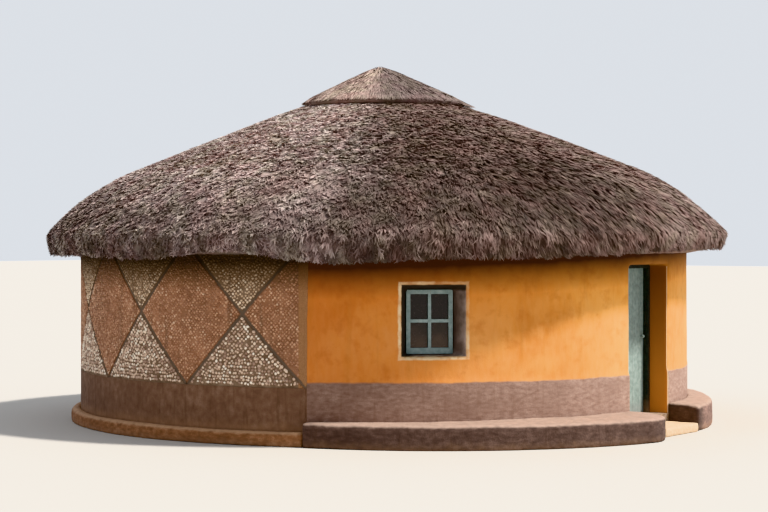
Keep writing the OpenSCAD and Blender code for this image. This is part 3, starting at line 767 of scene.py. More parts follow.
def lumps(points, size, seed=0):
    """Smooth random values from -1 to 1 at points, with lumps about as wide as size."""
    cell = np.asarray(points, float) / size
    corner = np.floor(cell).astype(np.int64)
    ease = cell - corner
    ease = ease * ease * (3 - 2 * ease)
    total = np.zeros(cell.shape[:-1])
    for step in itertools.product((0, 1), repeat=3):
        x, y, z = np.moveaxis(corner + np.array(step), -1, 0)
        key = (x * 73856093) ^ (y * 19349663) ^ (z * 83492791) ^ (seed * 7919)
        share = np.prod(np.where(step, ease, 1 - ease), axis=-1)
        total += share * LUMP_TABLE[key % len(LUMP_TABLE)]
    return total

# %% [markdown]
# ## Clay that was laid by hand
# The CAD walls have true, sharp corners. Real clay corners are as round as a thumb, and no face is
# quite flat. Bevels fail where a curved wall meets a splayed window, so the nodes are joined, turned
# into an even skin by a voxel remesh, smoothed a little, and pushed in and out by a few millimetres.

# %% Openings, where corners stay crisp
FRAME_GAP = 0.009

def window_coordinates(points):
    """Across a window's mouth and out from the hut's axis. X is folded over, so both windows fit."""
    x, y, _ = points.T
    across = np.abs(x) * math.cos(window_azimuth) + y * math.sin(window_azimuth)
    out = np.abs(x) * math.sin(window_azimuth) - y * math.cos(window_azimuth)
    return across, out

def near_openings(points):
    """1 at the windows' and the doorway's sides, falling to 0 a few centimetres round them."""
    x, y, z = points.T
    beyond = np.abs(window_coordinates(points)[0]) - WINDOW_MOUTH
    beyond = np.maximum(beyond, np.abs(z - mouth_middle) - mouth_half)
    window_side = np.clip((0.06 - beyond) / 0.03, 0, 1)
    door_side = np.clip((0.07 - np.abs(np.abs(x) - door_half)) / 0.03, 0, 1) * (z < door_head + 0.06)
    return np.maximum(window_side, door_side) * (y < 0)

def beside_frames(points):
    """1 on the sides next to a window's frame, where the plaster has shrunk back and left a gap."""
    _, y, z = points.T
    across, out = window_coordinates(points)
    depth = frame_middle.x * math.sin(window_azimuth) - frame_middle.y * math.cos(window_azimuth)
    beside = (np.abs(across) < WINDOW_MOUTH) & (z > mouth_low) & (z < mouth_high) & (y < 0)
    return np.clip((0.085 - np.abs(out - depth)) / 0.03, 0, 1) * beside

def snap(points, share, joined):
    """Moves points onto the CAD surface by their share."""
    tree = BVHTree.FromBMesh(joined)
    for i in np.flatnonzero(share > 0):
        points[i] += (np.array(tree.find_nearest(points[i])[0]) - points[i]) * share[i]

# %% An even skin
def even_skin(name, joined, voxel, passes):
    """An object like the joined nodes, remeshed to even faces and rubbed smooth."""
    mesh = bpy.data.meshes.new(name)
    joined.to_mesh(mesh)
    piece = new_object(name, mesh)
    skin = piece.modifiers.new("skin", "REMESH")
    skin.mode = "VOXEL"
    skin.voxel_size = voxel
    rub = piece.modifiers.new("rub", "SMOOTH")
    rub.iterations = passes
    graph = bpy.context.evaluated_depsgraph_get()
    piece.data = bpy.data.meshes.new_from_object(piece.evaluated_get(graph))
    piece.modifiers.clear()
    return piece

# %% Soften CAD nodes
def softened(name, members, slot, voxel, passes, waves, crisp=None, bend=None):
    """One skin over CAD nodes, with round corners. Waves are (size of a lump, height) pairs."""
    joined = bmesh.new()
    for member in members:
        joined.from_mesh(nodes[member].data)
    piece = even_skin(name, joined, voxel, passes)
    mesh = piece.data
    points, normals = np.zeros((2, len(mesh.vertices), 3))
    mesh.vertices.foreach_get("co", points.ravel())
    mesh.vertices.foreach_get("normal", normals.ravel())
    if bend:
        bend(points)
    push = sum(height * lumps(points, size, seed) for seed, (size, height) in enumerate(waves))
    if crisp:
        share = crisp(points)
        snap(points, share, joined)
        push *= 1 - 0.7 * share
        push -= FRAME_GAP * beside_frames(points)
    joined.free()
    points += normals * push[:, None]
    points[:, 2] = np.maximum(points[:, 2], 0)
    mesh.vertices.foreach_set("co", points.ravel())
    mesh.polygons.foreach_set("use_smooth", np.ones(len(mesh.polygons), bool))
    mesh.update()
    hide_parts(*members)
    return finished(piece, slot)

# %% Hand-shaped ends of the ledges
END_ROUND = 0.55

def round_off(points):
    """Worn round where people step past: the left ledge's outer corner beside the doorway."""
    low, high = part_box("bench_left")
    centre = np.array([high.x - END_ROUND, low.y + END_ROUND])
    off = (points[:, :2] - centre) * (1, -1) / END_ROUND
    outer = (off > 0).all(1)
    off = off[outer] * (off[outer].max(1) / np.linalg.norm(off[outer], axis=1))[:, None]
    points[outer, :2] = centre + off * (END_ROUND, -END_ROUND)

def narrower(points):
    """The right ledge is a little higher, and narrower where it runs round the side."""
    azimuth = np.arctan2(points[:, 0], -points[:, 1])
    radius = np.hypot(points[:, 0], points[:, 1])
    share = 0.22 * np.clip((azimuth - math.radians(8)) / 0.4, 0, 1)
    points[:, :2] *= (1 - share * np.maximum(radius - wall_r, 0) / radius)[:, None]
    points[:, 2] *= 1.09

# %% Plaster, ledges, kerb and step
plaster_nodes = [n for n in nodes if record_slots[n] in ("ochre_plaster", "mauve_clay")]
plaster_waves = [(0.7, 0.006), (0.22, 0.002)]
ledge_waves = [(0.5, 0.008), (0.16, 0.004)]
kerb_waves = [(0.6, 0.006), (0.2, 0.002)]
step_waves = [(0.2, 0.004), (0.05, 0.002)]
softened("plastered_front", plaster_nodes, "ochre_plaster", 0.032, 2, plaster_waves, crisp=near_openings)
softened("clay_ledge_left", ["bench_left"], "ledge_clay", 0.024, 3, ledge_waves, bend=round_off)
softened("clay_ledge_right", ["bench_right"], "ledge_clay", 0.024, 3, ledge_waves, bend=narrower)
softened("clay_kerb", ["kerb_left", "kerb_back", "kerb_right"], "red_clay", 0.026, 2, kerb_waves)
softened("stone_step", ["doorstep"], "sandstone", 0.016, 3, step_waves)

# %% [markdown]
# ## Where the two walls meet
# The smooth front was plastered up to the dry pebbled wall, and a smear of clay closed the joint.
# Its edge wanders. Here it is a ribbon that follows the round wall, thickest along its middle, with
# both edges sunk in the plaster, in the clay of the pebbled wall and of its foot.

# %% Smears over the two joints
def joint_smear(name, side, foot, head, slot):
    """A ribbon up the wall on one side, -1 or 1, between two heights."""
    height, across = np.meshgrid(np.linspace(foot, head, 80), np.linspace(-1, 1, 9), indexing="ij")
    way = np.stack([height, 0 * height, 0 * height + side], -1)
    half_width = 0.030 + 0.008 * lumps(way, 0.2, 41)
    azimuth = side * PLASTER_END + (across * half_width + 0.006 * lumps(way, 0.35, 42)) / wall_r
    radius = wall_r + 0.006 - 0.015 * across ** 2 + 0.002 * lumps(way, 0.05, 43)
    index = np.arange(height.size).reshape(height.shape)
    faces = np.stack([index[:-1, :-1], index[:-1, 1:], index[1:, 1:], index[1:, :-1]], -1)
    new_piece(name, round_hut(azimuth, radius, height), faces.reshape(-1, 4), slot)

for side, end in ((-1, "left"), (1, "right")):
    joint_smear(f"joint_{end}", side, band_top, wall_top, "pebbled_clay")
    joint_smear(f"foot_joint_{end}", side, 0.05, band_top, "dark_clay")

# %% [markdown]
# ## Pebbles
# Stones were pressed into the wet clay in rows that follow the outline of each field, the way a
# mason lays from the edge inwards. So each field is an outline that shrinks ring by ring, and the
# stones walk round every ring with a little disorder. The triangles below the crossings got the
# big pale stones, and the lozenges small warm ones.

# %% Rows that follow an outline
def crossed(a, b):
    return a[:, 0] * b[:, 1] - a[:, 1] * b[:, 0]

def inset(corners, depth):
    """The outline moved inwards by depth, or None where nothing is left of it."""
    along = np.roll(corners, -1, 0) - corners
    along /= np.linalg.norm(along, axis=1)[:, None]
    start = corners + np.stack([-along[:, 1], along[:, 0]], -1) * depth
    back, before = np.roll(along, 1, 0), np.roll(start, 1, 0)
    reach = crossed(start - before, along) / crossed(back, along)
    moved = before + back * reach[:, None]
    shrunk = (((np.roll(moved, -1, 0) - moved) * along).sum(1) <= 0).any()
    return None if shrunk else moved

def rows_in(corners, margin, pitch):
    """Places in rows that follow a convex outline, counter-clockwise, from its edge inwards."""
    places = []
    depth = margin
    while (ring := inset(np.array(corners, float), depth)) is not None:
        for a, b in zip(ring, np.roll(ring, -1, 0)):
            steps = max(1, round(np.linalg.norm(b - a) / pitch))
            places += [a + (b - a) * i / steps for i in range(steps)]
        depth += pitch
    return np.array(places)

# %% The fields of one panel
over = (wall_top - CROSS_HEIGHT) * math.tan(lean)
mid = 2 * CROSS_HEIGHT - band_top
low_triangle = [(-panel_half, band_top), (panel_half, band_top), (0, CROSS_HEIGHT)]
high_triangle = [(0, CROSS_HEIGHT), (over, wall_top), (-over, wall_top)]
lozenge = [(0, CROSS_HEIGHT), (panel_half, band_top), (2 * panel_half, CROSS_HEIGHT), (panel_half, mid)]
fields = {
    "pale": rows_in(low_triangle, CHANNEL / 2 + 0.018, 0.0385),
    "cream": rows_in(high_triangle, CHANNEL / 2 + 0.016, 0.0345),
    "warm": rows_in(lozenge, CHANNEL / 2 + 0.014, 0.0340),
}
print("places for stones in one panel:", {kind: len(places) for kind, places in fields.items()})

# %% Finish of the stones
def pebble(name, stops):
    """Each stone has its own tone, and a faint grain."""
    material, where = new_material(name, 0.6)
    tone = add(where.tree, "ShaderNodeAttribute", {}, "Fac", attribute_name="tone")
    base = ramp(tone + (noise(where, 140.0, 3.0) - 0.5) * 0.25, stops)
    # Painted shade under the eave darkens the stones near the top.
    base = eave_shaded(rained_on(base, where, 0.08, 0.4, (0.16, 0.11, 0.08)), where)
    return complete(material, base, noise(where, 220.0, 2.0), 0.0015, 0.4)

stone_finish = {
    "pale": pebble("pale_pebbles", [
        (0.0, (0.20, 0.120, 0.088)), (0.35, (0.44, 0.295, 0.225)), (0.65, (0.68, 0.50, 0.38)),
        (0.85, (0.84, 0.69, 0.55)), (1.0, (0.90, 0.81, 0.70))]),
    "cream": pebble("cream_pebbles", [
        (0.0, (0.25, 0.160, 0.100)), (0.5, (0.51, 0.355, 0.235)),
        (0.85, (0.69, 0.52, 0.37)), (1.0, (0.82, 0.67, 0.51))]),
    "warm": pebble("warm_pebbles", [
        (0.0, (0.26, 0.128, 0.078)), (0.5, (0.45, 0.240, 0.147)),
        (0.85, (0.58, 0.345, 0.22)), (1.0, (0.68, 0.47, 0.33))]),
}

# %% Stones as low domes
LOW_DOME = ((1.0, -0.35), (0.72, 0.75))

def dome_faces(sides, count):
    """Triangles of count domes. Each has the points of its rings, and then its crown."""
    here, there = np.arange(sides), np.roll(np.arange(sides), -1)
    last = len(LOW_DOME) - 1
    faces = []
    for low in range(0, last * sides, sides):
        high = low + sides
        faces.append(np.stack([low + here, low + there, high + there], -1))
        faces.append(np.stack([low + here, high + there, high + here], -1))
    crown = np.full(sides, (last + 1) * sides)
    faces.append(np.stack([last * sides + here, last * sides + there, crown], -1))
    first = np.arange(count)[:, None, None] * ((last + 1) * sides + 1)
    return (np.concatenate(faces) + first).reshape(-1, 3)

def domes(azimuth, height, width, rise, sides, rng):
    """Points of flattened stones on the round wall, each with rings of (spread, lift) and a crown."""
    count = len(azimuth)
    centre = outward(azimuth) * wall_r + UP * height[:, None]
    along, out = sideways(azimuth), outward(azimuth)
    around = np.arange(sides) / sides * math.tau + rng.uniform(0, math.tau, (count, 1))
    squash = rng.uniform(0.74, 1.0, (count, 1))
    turn = rng.uniform(0, math.tau, (count, 1))
    bumpy = rng.uniform(0.88, 1.12, (count, sides))
    points = []
    for spread, lift in LOW_DOME:
        u, v = np.cos(around) * spread * bumpy, np.sin(around) * spread * squash * bumpy
        x = (u * np.cos(turn) - v * np.sin(turn)) * width[:, None] / 2
        y = (u * np.sin(turn) + v * np.cos(turn)) * width[:, None] / 2
        ring = centre[:, None] + along[:, None] * x[..., None] + UP * y[..., None]
        points.append(ring + (out * (rise * lift)[:, None])[:, None])
    points.append((centre + out * rise[:, None])[:, None])
    return np.concatenate(points, axis=1)

# %% Where the stones lie
def laid_stones(kind, size, rng):
    """Azimuth and height of each stone of a kind: a little disorder, and a few have fallen out."""
    azimuth, height = [], []
    for panel in range(-1 if kind == "warm" else 0, PANEL_COUNT):
        x, z = (fields[kind] + rng.normal(0, size * 0.14, fields[kind].shape)).T
        middle = PLASTER_END + (panel + 0.5) * panel_angle
        beyond = panel_angle - np.arcsin((2 * panel_half - x) / wall_r)
        local = np.where(x > panel_half, beyond, np.arcsin(x / wall_r))
        inside = (np.abs(local) <= panel_angle / 2) | (kind == "warm")
        azimuth.append((middle + local)[inside])
        height.append(z[inside])
    azimuth, height = np.concatenate(azimuth), np.concatenate(height)
    edge = PLASTER_END + BORDER / wall_r
    kept = (azimuth > edge) & (azimuth < math.tau - edge)
    kept &= (height > band_top + size / 2) & (height < wall_top - size)
    kept &= rng.random(len(azimuth)) > 0.04
    return azimuth[kept], height[kept]

def stone_tone(kind, azimuth, height, rng):
    """From 0 for the darkest stone to 1 for the palest, paler in patches and beside the crossings."""
    patch = 0.16 * lumps(outward(azimuth) * wall_r + UP * height[:, None], 0.22, 41)
    tone = rng.beta(1.7, 1.9, len(azimuth)) + patch
    if kind == "cream":
        tone += 0.30 * np.exp(-np.abs(height - CROSS_HEIGHT) / 0.30)
    if kind == "pale":
        tone += 0.14 * np.abs(np.cos(azimuth - PLASTER_END))
    return np.clip(tone, 0, 1)

# %% Set the stones
STONES = {"pale": (0.038, 0.012, 6), "cream": (0.034, 0.010, 5), "warm": (0.033, 0.009, 5)}

for kind, (size, rise, sides) in STONES.items():
    rng = np.random.default_rng(len(kind) * 31 + sides)
    azimuth, height = laid_stones(kind, size, rng)
    count = len(azimuth)
    width = size * rng.uniform(0.74, 1.22, count)
    points = domes(azimuth, height, width, rise * rng.uniform(0.6, 1.3, count), sides, rng)
    tone = np.repeat(stone_tone(kind, azimuth, height, rng), points.shape[1])
    stones = new_piece(f"{kind}_pebbles", points, dome_faces(sides, count), "pebbled_clay", tone=tone)
    stones.data.materials[0] = stone_finish[kind]
    print(f"{kind}: {count} stones")

# %% [markdown]
# ## The roof's line
# The coat of grass is a broad dome, a rounder shoulder and a thin tip, and below the tip the eave
# was cut back with a blade, so its face leans in. These are arcs that touch and one straight cut,
# as in the frame. They are joined into one line with a length, so a place on the roof is two
# numbers, an azimuth and the distance down the slope. Every stem is laid with them.

# %% Centres of the arcs
TIP_ROUND = 0.07
TIP_HEIGHT = 0.275
CUT_LEAN = math.radians(28)
SHOULDER_RADIUS = 3.0
SHOULDER_SLOPE = math.radians(49)
DOME_RADIUS = 33.0

tip = np.array([eave_r - TIP_ROUND, eave_z + TIP_HEIGHT])
corner = tip - (TIP_HEIGHT - TIP_ROUND) * np.array([math.tan(CUT_LEAN), 1.0])
tip_start = math.pi / 2 - SHOULDER_SLOPE
shoulder = tip - (SHOULDER_RADIUS - TIP_ROUND) * np.array([math.cos(tip_start), math.sin(tip_start)])
rim = np.array([cap_r, cap_z])
span = shoulder - rim
distance = np.linalg.norm(span)
lead = (distance ** 2 + DOME_RADIUS ** 2 - (DOME_RADIUS - SHOULDER_RADIUS) ** 2) / (2 * distance)
heading = span / distance
across = np.array([heading[1], -heading[0]])
dome = rim + heading * lead + across * math.sqrt(DOME_RADIUS ** 2 - lead ** 2)
dome_top = dome[1] + math.sqrt(DOME_RADIUS ** 2 - dome[0] ** 2)
print(f"dome's centre {dome.round(2)}, its top at {dome_top:.3f}")

# %% One line with a length
STEP = 0.01
WORN = 0.21
HIDDEN_R = 0.35

def arc(centre, radius, first, last):
    """Points on an arc about every centimetre."""
    angles = np.linspace(first, last, max(4, int(abs(last - first) * radius / STEP)))
    return centre + radius * np.stack([np.cos(angles), np.sin(angles)], -1)

def worn_round(points, length, worn):
    """The line at even steps, with its corners worn round over a stretch of it."""
    even = np.arange(0, length[-1], STEP)
    half = int(worn / STEP) // 2
    weight = np.hanning(2 * half + 3)[1:-1]
    weight /= weight.sum()
    columns = [np.pad(np.interp(even, length, column), half, mode="edge") for column in points.T]
    smooth = np.stack([np.convolve(column, weight, "valid") for column in columns], -1)
    along = np.gradient(smooth, axis=0)
    along /= np.linalg.norm(along, axis=1)[:, None]
    return even, smooth, np.stack([-along[:, 1], along[:, 0]], -1)

join = math.atan2(shoulder[1] - dome[1], shoulder[0] - dome[0])
arcs = [
    arc(dome, DOME_RADIUS, math.acos((HIDDEN_R - dome[0]) / DOME_RADIUS), join),
    arc(shoulder, SHOULDER_RADIUS, join, tip_start),
    arc(tip, TIP_ROUND, tip_start, -CUT_LEAN),
    arc(corner, TIP_ROUND, -CUT_LEAN, -math.pi / 2),
]
sharp = np.concatenate(arcs)
sharp_length = np.concatenate([[0], np.cumsum(np.hypot(*np.diff(sharp, axis=0).T))])
line_length, line, line_out = worn_round(sharp, sharp_length, WORN)
eave_start = sharp_length[len(arcs[0]) + len(arcs[1])]
slope_length = line_length[-1]
climb = int(eave_start / STEP)
rim_start = np.interp(cap_r, line[:climb, 0], line_length[:climb])
print(f"slope {slope_length:.2f} m, eave from {eave_start:.2f} m, cap's rim at {rim_start:.2f} m")

# %% Any place on the roof
SINK = 0.024
SETTLED_AZIMUTH = math.radians(35)

def roof_section(along, lift):
    """Radius and height: along metres down the line, lift metres above the coat."""
    x, z, out, up = [np.interp(along, line_length, column) for column in (*line.T, *line_out.T)]
    return x + out * (lift - SINK), z + up * (lift - SINK)

def unevenness(points, azimuth, along):
    """The roof has settled to one side. Bundles make broad swells, and scallops along the eave."""
    edge = np.clip((along - eave_start + 0.25) / 0.5, 0, 1)
    settled = 0.022 * np.cos(azimuth - SETTLED_AZIMUTH) * np.clip((along - rim_start) / 1.5, 0, 1)
    swell = 0.014 * lumps(points, 1.1, 3) + 0.007 * lumps(points, 0.4, 4)
    return settled + swell + edge * (0.012 * lumps(points, 0.42, 6) + 0.006 * lumps(points, 0.17, 7))

# %% [markdown]
# ## An eave that differs all round
# The eave is full and steep to the left and in front, a thin wedge beyond the door, and dented where
# the wind pulled at it. Bending a finished roof would bend its stems too. So the eave's own shift
# outwards and upwards is a function of the azimuth, and coat, stems and fringe all ask it.

# %% The eave's shift
THIN_AZIMUTH = math.radians(50)
ROUND_AZIMUTH = math.radians(38)
DENTS = ((-79, 8, 0.085), (-96, 8, -0.050), (-63, 9, -0.055), (-128, 12, 0.012), (-3, 22, 0.036))
EDGE_MARGIN = 0.014

def dented(azimuth):
    """Where the cut runs higher or lower than its ring: (azimuth, width, height) of each place."""
    places = [(math.radians(at), math.radians(wide), high) for at, wide, high in DENTS]
    return sum(high * nearness(azimuth, at, wide) for at, wide, high in places)

def eave_shift(points, azimuth, along):
    """How far the cut is out and up: full and steep for most of the way, thin and high beyond the door."""
    low = np.clip((along - eave_start) / (slope_length - eave_start), 0, 1)
    thin = ((1 + np.cos(azimuth - THIN_AZIMUTH)) / 2) ** 4
    dips = 0.012 * lumps(points, 0.8, 17) + 0.014 * lumps(points, 0.25, 18) + dented(azimuth)
    round_end = 0.05 * nearness(azimuth, ROUND_AZIMUTH, 0.4)
    round_end = round_end * np.clip((along - eave_start + 0.5) / 0.5, 0, 1)
    return round_end * (1 + 2 * low) + low * (0.09 - 0.10 * thin), low * (-0.03 + 0.14 * thin + dips)

def inside_frame(points):
    """Keeps points inside the frame's own outline."""
    points[..., :2] = np.clip(points[..., :2], EDGE_MARGIN - eave_r, eave_r - EDGE_MARGIN)
    return points

def roof_point(azimuth, along, lift):
    """A place on the uneven coat."""
    even = round_hut(azimuth, *roof_section(along, 0))
    x, z = roof_section(along, lift + unevenness(even, azimuth, along))
    out, up = eave_shift(even, azimuth, along)
    return inside_frame(round_hut(azimuth, x + out, z + up))

# %% [markdown]
# ## The coat under the stems
# Stems alone would leave holes, so a closed body of packed grass lies below them: a grid wrapped
# round the axis, from the cap down over the eave, level back to the wall, and along the poles to
# the apex. It stands for the four quarters in the frame.

# %% Rings round the axis
def ring_faces(rows, columns):
    """Quads between closed rings of points."""
    row, column = np.meshgrid(np.arange(rows - 1), np.arange(columns), indexing="ij")
    here, below = row * columns, (row + 1) * columns
    after = (column + 1) % columns
    return np.stack([here + column, below + column, below + after, here + after], -1).reshape(-1, 4)

def turned(section, azimuth):
    """Rings of points from (radius, height) pairs."""
    return np.array([outward(azimuth) * r + UP * z for r, z in section])

# %% Coat
COLUMNS = 360
ROW = 0.08
COAT_SINK = 0.012

def soffit_section():
    """Radius and height where the roof's underside in the frame starts, and its height at the apex."""
    radius, height = radii("thatch_back")
    foot_r = radius[height < eave_z + TIP_HEIGHT].min()
    foot_z = height[np.abs(radius - foot_r) < 0.004].max()
    return foot_r, foot_z, height[radius < 0.02].min()

def cut_face(last, azimuth, soffit_r):
    """Rings from the coat's last ring back to the soffit."""
    last_r, last_z = np.hypot(last[:, 0], last[:, 1]), last[:, 2]
    share = np.linspace(0.15, 1, 6)[:, None]
    radius = last_r + (soffit_r + 0.03 - last_r) * share
    back = round_hut(azimuth, radius, last_z + (eave_z + 0.04 - last_z) * share)
    return back + UP * (lumps(back, 0.12, 10) * 0.008)[..., None]

def thatch_coat():
    """Rings over the top, down the slope, back under the cut, up the soffit and along the poles."""
    foot_r, foot_z, head_z = soffit_section()
    azimuth = np.arange(COLUMNS) / COLUMNS * math.tau
    along = np.concatenate([np.arange(0, eave_start, ROW), np.linspace(eave_start, slope_length, 9)])
    outer = roof_point(*np.meshgrid(azimuth, along), -COAT_SINK)
    outer += outward(azimuth)[None] * (lumps(outer, 0.09, 8) * 0.008)[..., None]
    top = [(0.02, dome_top - 0.06), (0.2, dome_top - 0.06)]
    post = [(foot_r + 0.004, eave_z + 0.07), (foot_r + 0.004, eave_z + 0.22)]
    slope = [(foot_r + (0.02 - foot_r) * t, foot_z + (head_z - foot_z) * t) for t in np.linspace(0, 1, 20)]
    rings = [turned(top, azimuth), outer, cut_face(outer[-1], azimuth, foot_r), turned(post + slope, azimuth)]
    points = np.concatenate(rings)
    # Painted shade: the coat has a lower tone than the stems, so the gaps between them read darker.
    tone = 0.36 + 0.12 * lumps(points, 0.07, 9)
    coat = new_piece("thatch_coat", points, ring_faces(len(points), COLUMNS), "thatch", tone=tone)
    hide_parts("thatch_front", "thatch_right", "thatch_back", "thatch_left")

thatch_coat()

# %% [markdown]
# ## Stems
# What the eye reads as thatch are small bundles whose lower ends stand off the roof. Hair particles
# would be quick, but they don't leave meshes behind. Each stem here is a flat blade of two triangles
# that follows the roof's line: a point under its neighbours, a widest place, and a tip that lifts
# off. They grow in clumps, and the clumps sit in courses as a thatcher lays them, so none is missing.

# %% Blades from their middle lines
# Root, widest place and tip, as shares of a blade's length.
REACH = np.array([0.0, 0.60, 1.0])

def blades(name, spine, aside, slot, tone, root=0.12):
    """Flat blades: spine has three places for each, and aside has half a width at the middle one. The root's
    share of the tone is low, as painted shade in the gaps under the stems above."""
    points = np.stack([spine[:, 0], spine[:, 1] - aside, spine[:, 1] + aside, spine[:, 2]], 1)
    faces = np.array([(0, 1, 2), (1, 3, 2)])
    faces = (faces[None] + (np.arange(len(spine)) * 4)[:, None, None]).reshape(-1, 3)
    tones = np.stack([tone * root, tone * 0.85, tone * 0.85, tone * 1.08], 1)
    return new_piece(name, points, faces, slot, tone=tones, smooth=False)

def rolled(turn, width, roll):
    """Half a blade's width, along the roof but tipped by roll so that blades catch light unlike."""
    steep = outward(turn) * 0.4 + UP * 0.92
    tipped = sideways(turn) * np.cos(roll)[..., None] + steep * np.sin(roll)[..., None]
    return tipped * (width / 2)[..., None]

# %% Courses of clumps
CELL = 0.070
PER_CLUMP = 10
COMBED_AZIMUTH = math.radians(30)
SWEPT_AZIMUTH = math.radians(-55)

def courses(first, last, rng):
    """Places for clumps in level courses, each shifted against the one above and all a little off."""
    azimuth, along = [], []
    for row, start in enumerate(np.arange(first, last, CELL)):
        count = int(roof_section(start, 0)[0] * math.tau / CELL)
        place_in_row = np.arange(count) + 0.5 * (row % 2) + rng.normal(0, 0.30, count)
        azimuth.append(place_in_row / count * math.tau)
        along.append(start + rng.normal(0, 0.33, count) * CELL)
    return np.concatenate(azimuth), np.concatenate(along)

def combed_share(azimuth):
    """From 0 on the weather side, where stems are tangled, to 1 where they lie combed."""
    return np.clip(0.5 + 0.8 * np.cos(azimuth - COMBED_AZIMUTH), 0, 1)

def swept_share(azimuth):
    """How much the wind has laid the eave's ends over, from 0 to 1."""
    return np.clip(np.sin(azimuth - SWEPT_AZIMUTH), 0, 1)

# %% Stems in clumps
def thatch_stems(name, first, last, seed):
    """Clumps of blades between two distances down the slope. They are short and tangled on the
    weather side, long and combed on the other, and lie flatter near the cap."""
    rng = np.random.default_rng(seed)
    azimuth, along = courses(first, last, rng)
    x, z = roof_section(along, 0)
    spot = round_hut(azimuth, x, z)
    clumps, total = len(along), len(along) * PER_CLUMP
    combed = combed_share(azimuth)
    rough = 0.40 + 0.60 * np.clip((along - rim_start) / 1.5, 0, 1)
    on_cut = np.clip((along - eave_start + 0.15) / 0.3, 0, 1)
    tangled_cut = on_cut * (1 - combed)
    tangle = 1.0 - 0.86 * combed

    def many(values):
        return np.repeat(values, PER_CLUMP)

    spread = 0.10 * rng.normal(0, 1, clumps) + 0.25 * lumps(spot, 0.11, 31) + 0.10 * lumps(spot, 0.5, 32)
    tone = 0.56 + rough * spread * (1 + 0.7 * on_cut)
    size = rng.uniform(0.75, 1.25, total) * many(0.100 + 0.100 * combed) * many(1 - 0.4 * tangled_cut)
    swirl = 0.22 * lumps(spot, 0.9, 33) + 0.16 * lumps(spot, 0.3, 34)
    swirl += 0.8 * on_cut * combed * swept_share(azimuth)
    veer = many(swirl + 0.6 * tangle * rng.normal(0, 1, clumps))
    veer += many(tangle * (0.9 + 0.9 * tangled_cut)) * rng.normal(0, 1, total)
    lift = many(rough * rng.uniform(0.006, 0.023, clumps) * (1 + 0.3 * combed + 0.7 * on_cut))
    lift += rng.normal(0, 0.003, total)
    azimuth = many(azimuth) + rng.normal(0, 0.019, total) / many(x)
    along = many(along) + rng.normal(0, 0.019, total)
    way = size[:, None] * (REACH - 0.5)
    down = along[:, None] + way * np.cos(veer)[:, None]
    turn = azimuth[:, None] + way * np.sin(veer)[:, None] / np.maximum(many(x), 0.3)[:, None]
    rise = -0.014 + (lift[:, None] + 0.014) * REACH ** 1.2
    spine = roof_point(turn, np.minimum(down, slope_length), rise)
    width = rng.uniform(0.7, 1.3, total) * many(0.023 - 0.004 * combed)
    aside = rolled(turn[:, 1], width, rng.normal(0, 0.28, total))
    own = np.clip(many(tone) + many(rough) * 0.10 * rng.normal(0, 1, total), 0.05, 1.05)
    # Painted shade: each blade is darker at its root, less so near the cap.
    blades(name, spine, aside, "thatch", own, many(0.90 - 0.44 * rough))
    print(f"{clumps} clumps")

upper_end = (rim_start + eave_start) / 2 - 0.2
middle_end = eave_start - 0.5
thatch_stems("upper_thatch_stems", rim_start - 0.15, upper_end, 11)
thatch_stems("middle_thatch_stems", upper_end, middle_end, 12)
thatch_stems("eave_thatch_stems", middle_end, slope_length - 0.04, 13)

# %% The fringe that hangs at the eave
def eave_fringe(count):
    """Short ends that hang along the cut, so that its edge is ragged."""
    rng = np.random.default_rng(14)
    azimuth = rng.uniform(0, math.tau, count)
    along = rng.uniform(slope_length - 0.14, slope_length - 0.02, count)
    root = roof_point(azimuth, along, np.full(count, -0.01))
    hang = rng.uniform(0.018, 0.045, count) * (1 + 0.5 * lumps(root, 0.3, 15))
    lean_out = rng.normal(0.0, 0.22, count)
    swept = rng.normal(0, 1.2, count) * (1 - 0.7 * combed_share(azimuth)) + 0.7 * swept_share(azimuth)
    way = outward(azimuth) * lean_out[:, None] - UP + sideways(azimuth) * swept[:, None]
    step = way * hang[:, None]
    spine = inside_frame(np.stack([root, root + step * 0.6, root + step], 1))
    aside = rolled(azimuth, rng.uniform(0.010, 0.022, count), rng.normal(0, 0.4, count))
    blades("eave_fringe", spine, aside, "thatch", np.clip(rng.beta(1.6, 1.8, count) + 0.05, 0, 1))

eave_fringe(6000)

# %% [markdown]
# ## The straw cap
# A cone of straw closes the apex. Its stems run straight from the top to a ragged rim that droops
# onto the dome, and on one side loose stems have slipped past it. Stems alone would show gaps, so a
# cone body lies below them.

# %% Cap body
RIM_THICKNESS = 0.045
CAP_COLUMNS = 120

def cap_section(share, lift):
    """Radius and height on the cap, from its top at 0 to its rim at 1, and past it on the roof."""
    rim_z = cap_z + RIM_THICKNESS
    height = apex_z + (rim_z - apex_z) * share - 0.030 * np.clip((share - 0.86) / 0.14, 0, 1) ** 2
    _, on_roof = roof_section(np.interp(cap_r * share, line[:climb, 0], line_length[:climb]), SINK + 0.02)
    height = np.where(share > 1, np.maximum(np.minimum(height, on_roof + 0.03), on_roof), height)
    return cap_r * share, height + lift

def leaning(points, share):
    """The cap's top leans a little to the weather side."""
    points[..., :2] += np.maximum(1 - share, 0)[..., None] * np.array([-0.035, 0.045])
    return points

def cap_body():
    """A cone from the top down to the rim, and a little way in below it."""
    azimuth = np.arange(CAP_COLUMNS) / CAP_COLUMNS * math.tau
    section = [cap_section(np.array(s), -0.022) for s in np.linspace(0.01, 0.96, 16)]
    section += [(cap_r - 0.06, cap_z - 0.01), (0.6, cap_z)]
    points = turned(section, azimuth)
    points += (lumps(points, 0.25, 21) * 0.008)[..., None] * UP
    points = leaning(points, np.hypot(points[..., 0], points[..., 1]) / cap_r)
    # Painted shade: the body has a lower tone than its stems, so the gaps between them read darker.
    tone = 0.35 + 0.1 * lumps(points, 0.05, 22)
    cap = new_piece("cap_body", points, ring_faces(len(section), CAP_COLUMNS), "cap_straw", tone=tone)
    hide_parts("thatch_cap")

cap_body()

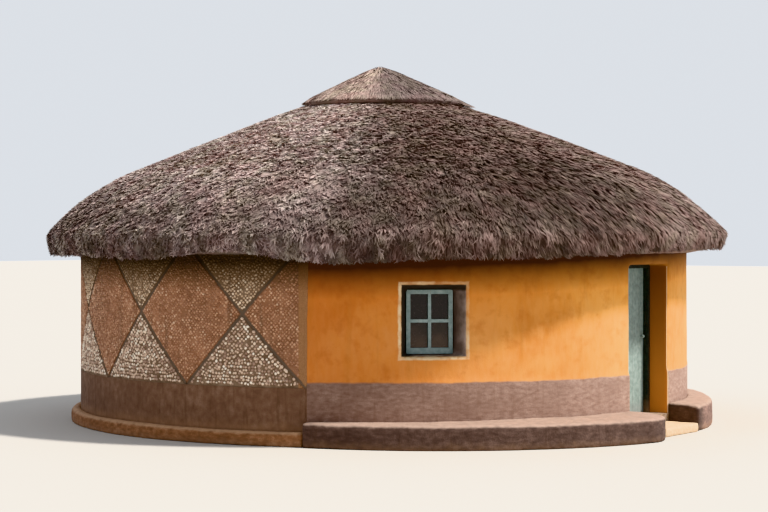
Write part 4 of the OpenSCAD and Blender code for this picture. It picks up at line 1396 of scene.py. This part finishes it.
# %% Cap stems
def cap_stems(count):
    """Straight stems from the top to a ragged rim. Loose ones have slipped down past it."""
    rng = np.random.default_rng(23)
    azimuth = rng.uniform(0, math.tau, count)
    start = np.sqrt(rng.uniform(0.0, 0.80, count)) - 0.02
    rim_share = 1.0 + 0.022 * lumps(outward(azimuth), 0.10, 24) + rng.normal(0, 0.010, count)
    loose = (rng.random(count) < 0.25 * nearness(azimuth, SETTLED_AZIMUTH, 0.45)) & (start > 0.4)
    rim_share += np.where(loose, rng.uniform(0.03, 0.12, count), 0)
    size = rng.uniform(0.14, 0.34, count) / cap_r
    start = np.maximum(np.where(loose, rim_share - size, start), 0.0)
    share = np.minimum(start[:, None] + size[:, None] * REACH, rim_share[:, None])
    share[:, 1] = (share[:, 0] + share[:, 2]) / 2
    turn = azimuth[:, None] + rng.normal(0, 0.06, count)[:, None] * REACH / np.maximum(share, 0.25)
    lift = rng.uniform(0.0, 0.016, count)
    radius, height = cap_section(share, -0.016 + (lift[:, None] + 0.014) * REACH ** 0.8)
    spine = leaning(round_hut(turn, radius, np.minimum(height, apex_z - 0.001)), share)
    width = rng.uniform(0.012, 0.024, count) * np.minimum(1.0, (share[:, 1] + 0.06) / 0.3)
    aside = rolled(turn[:, 1], width, rng.normal(0, 0.35, count))
    blades("cap_stems", spine, aside, "cap_straw", np.clip(rng.beta(1.8, 1.7, count) + 0.1, 0, 1))

cap_stems(12000)

# %% [markdown]
# ## Studio floor
# The floor is only there to take the shadow. It is wide and pale, and it isn't part of the hut.

# %% Floor
FLOOR_REACH = 120

def studio_floor():
    """A wide plane just below the hut."""
    mesh = bpy.data.meshes.new("studio_floor")
    corners = [(FLOOR_REACH * x, FLOOR_REACH * y, 0) for x, y in ((-1, -1), (1, -1), (1, 1), (-1, 1))]
    mesh.from_pydata(corners, [], [(0, 1, 2, 3)])
    floor = new_object("studio_floor", mesh)
    material, _ = new_material("studio_floor", 0.9)
    shader = material.node_tree.nodes["Principled BSDF"].inputs
    shader["Base Color"].default_value = (0.50, 0.48, 0.45, 1)
    mesh.materials.append(material)
    floor.location.z = -0.001

studio_floor()
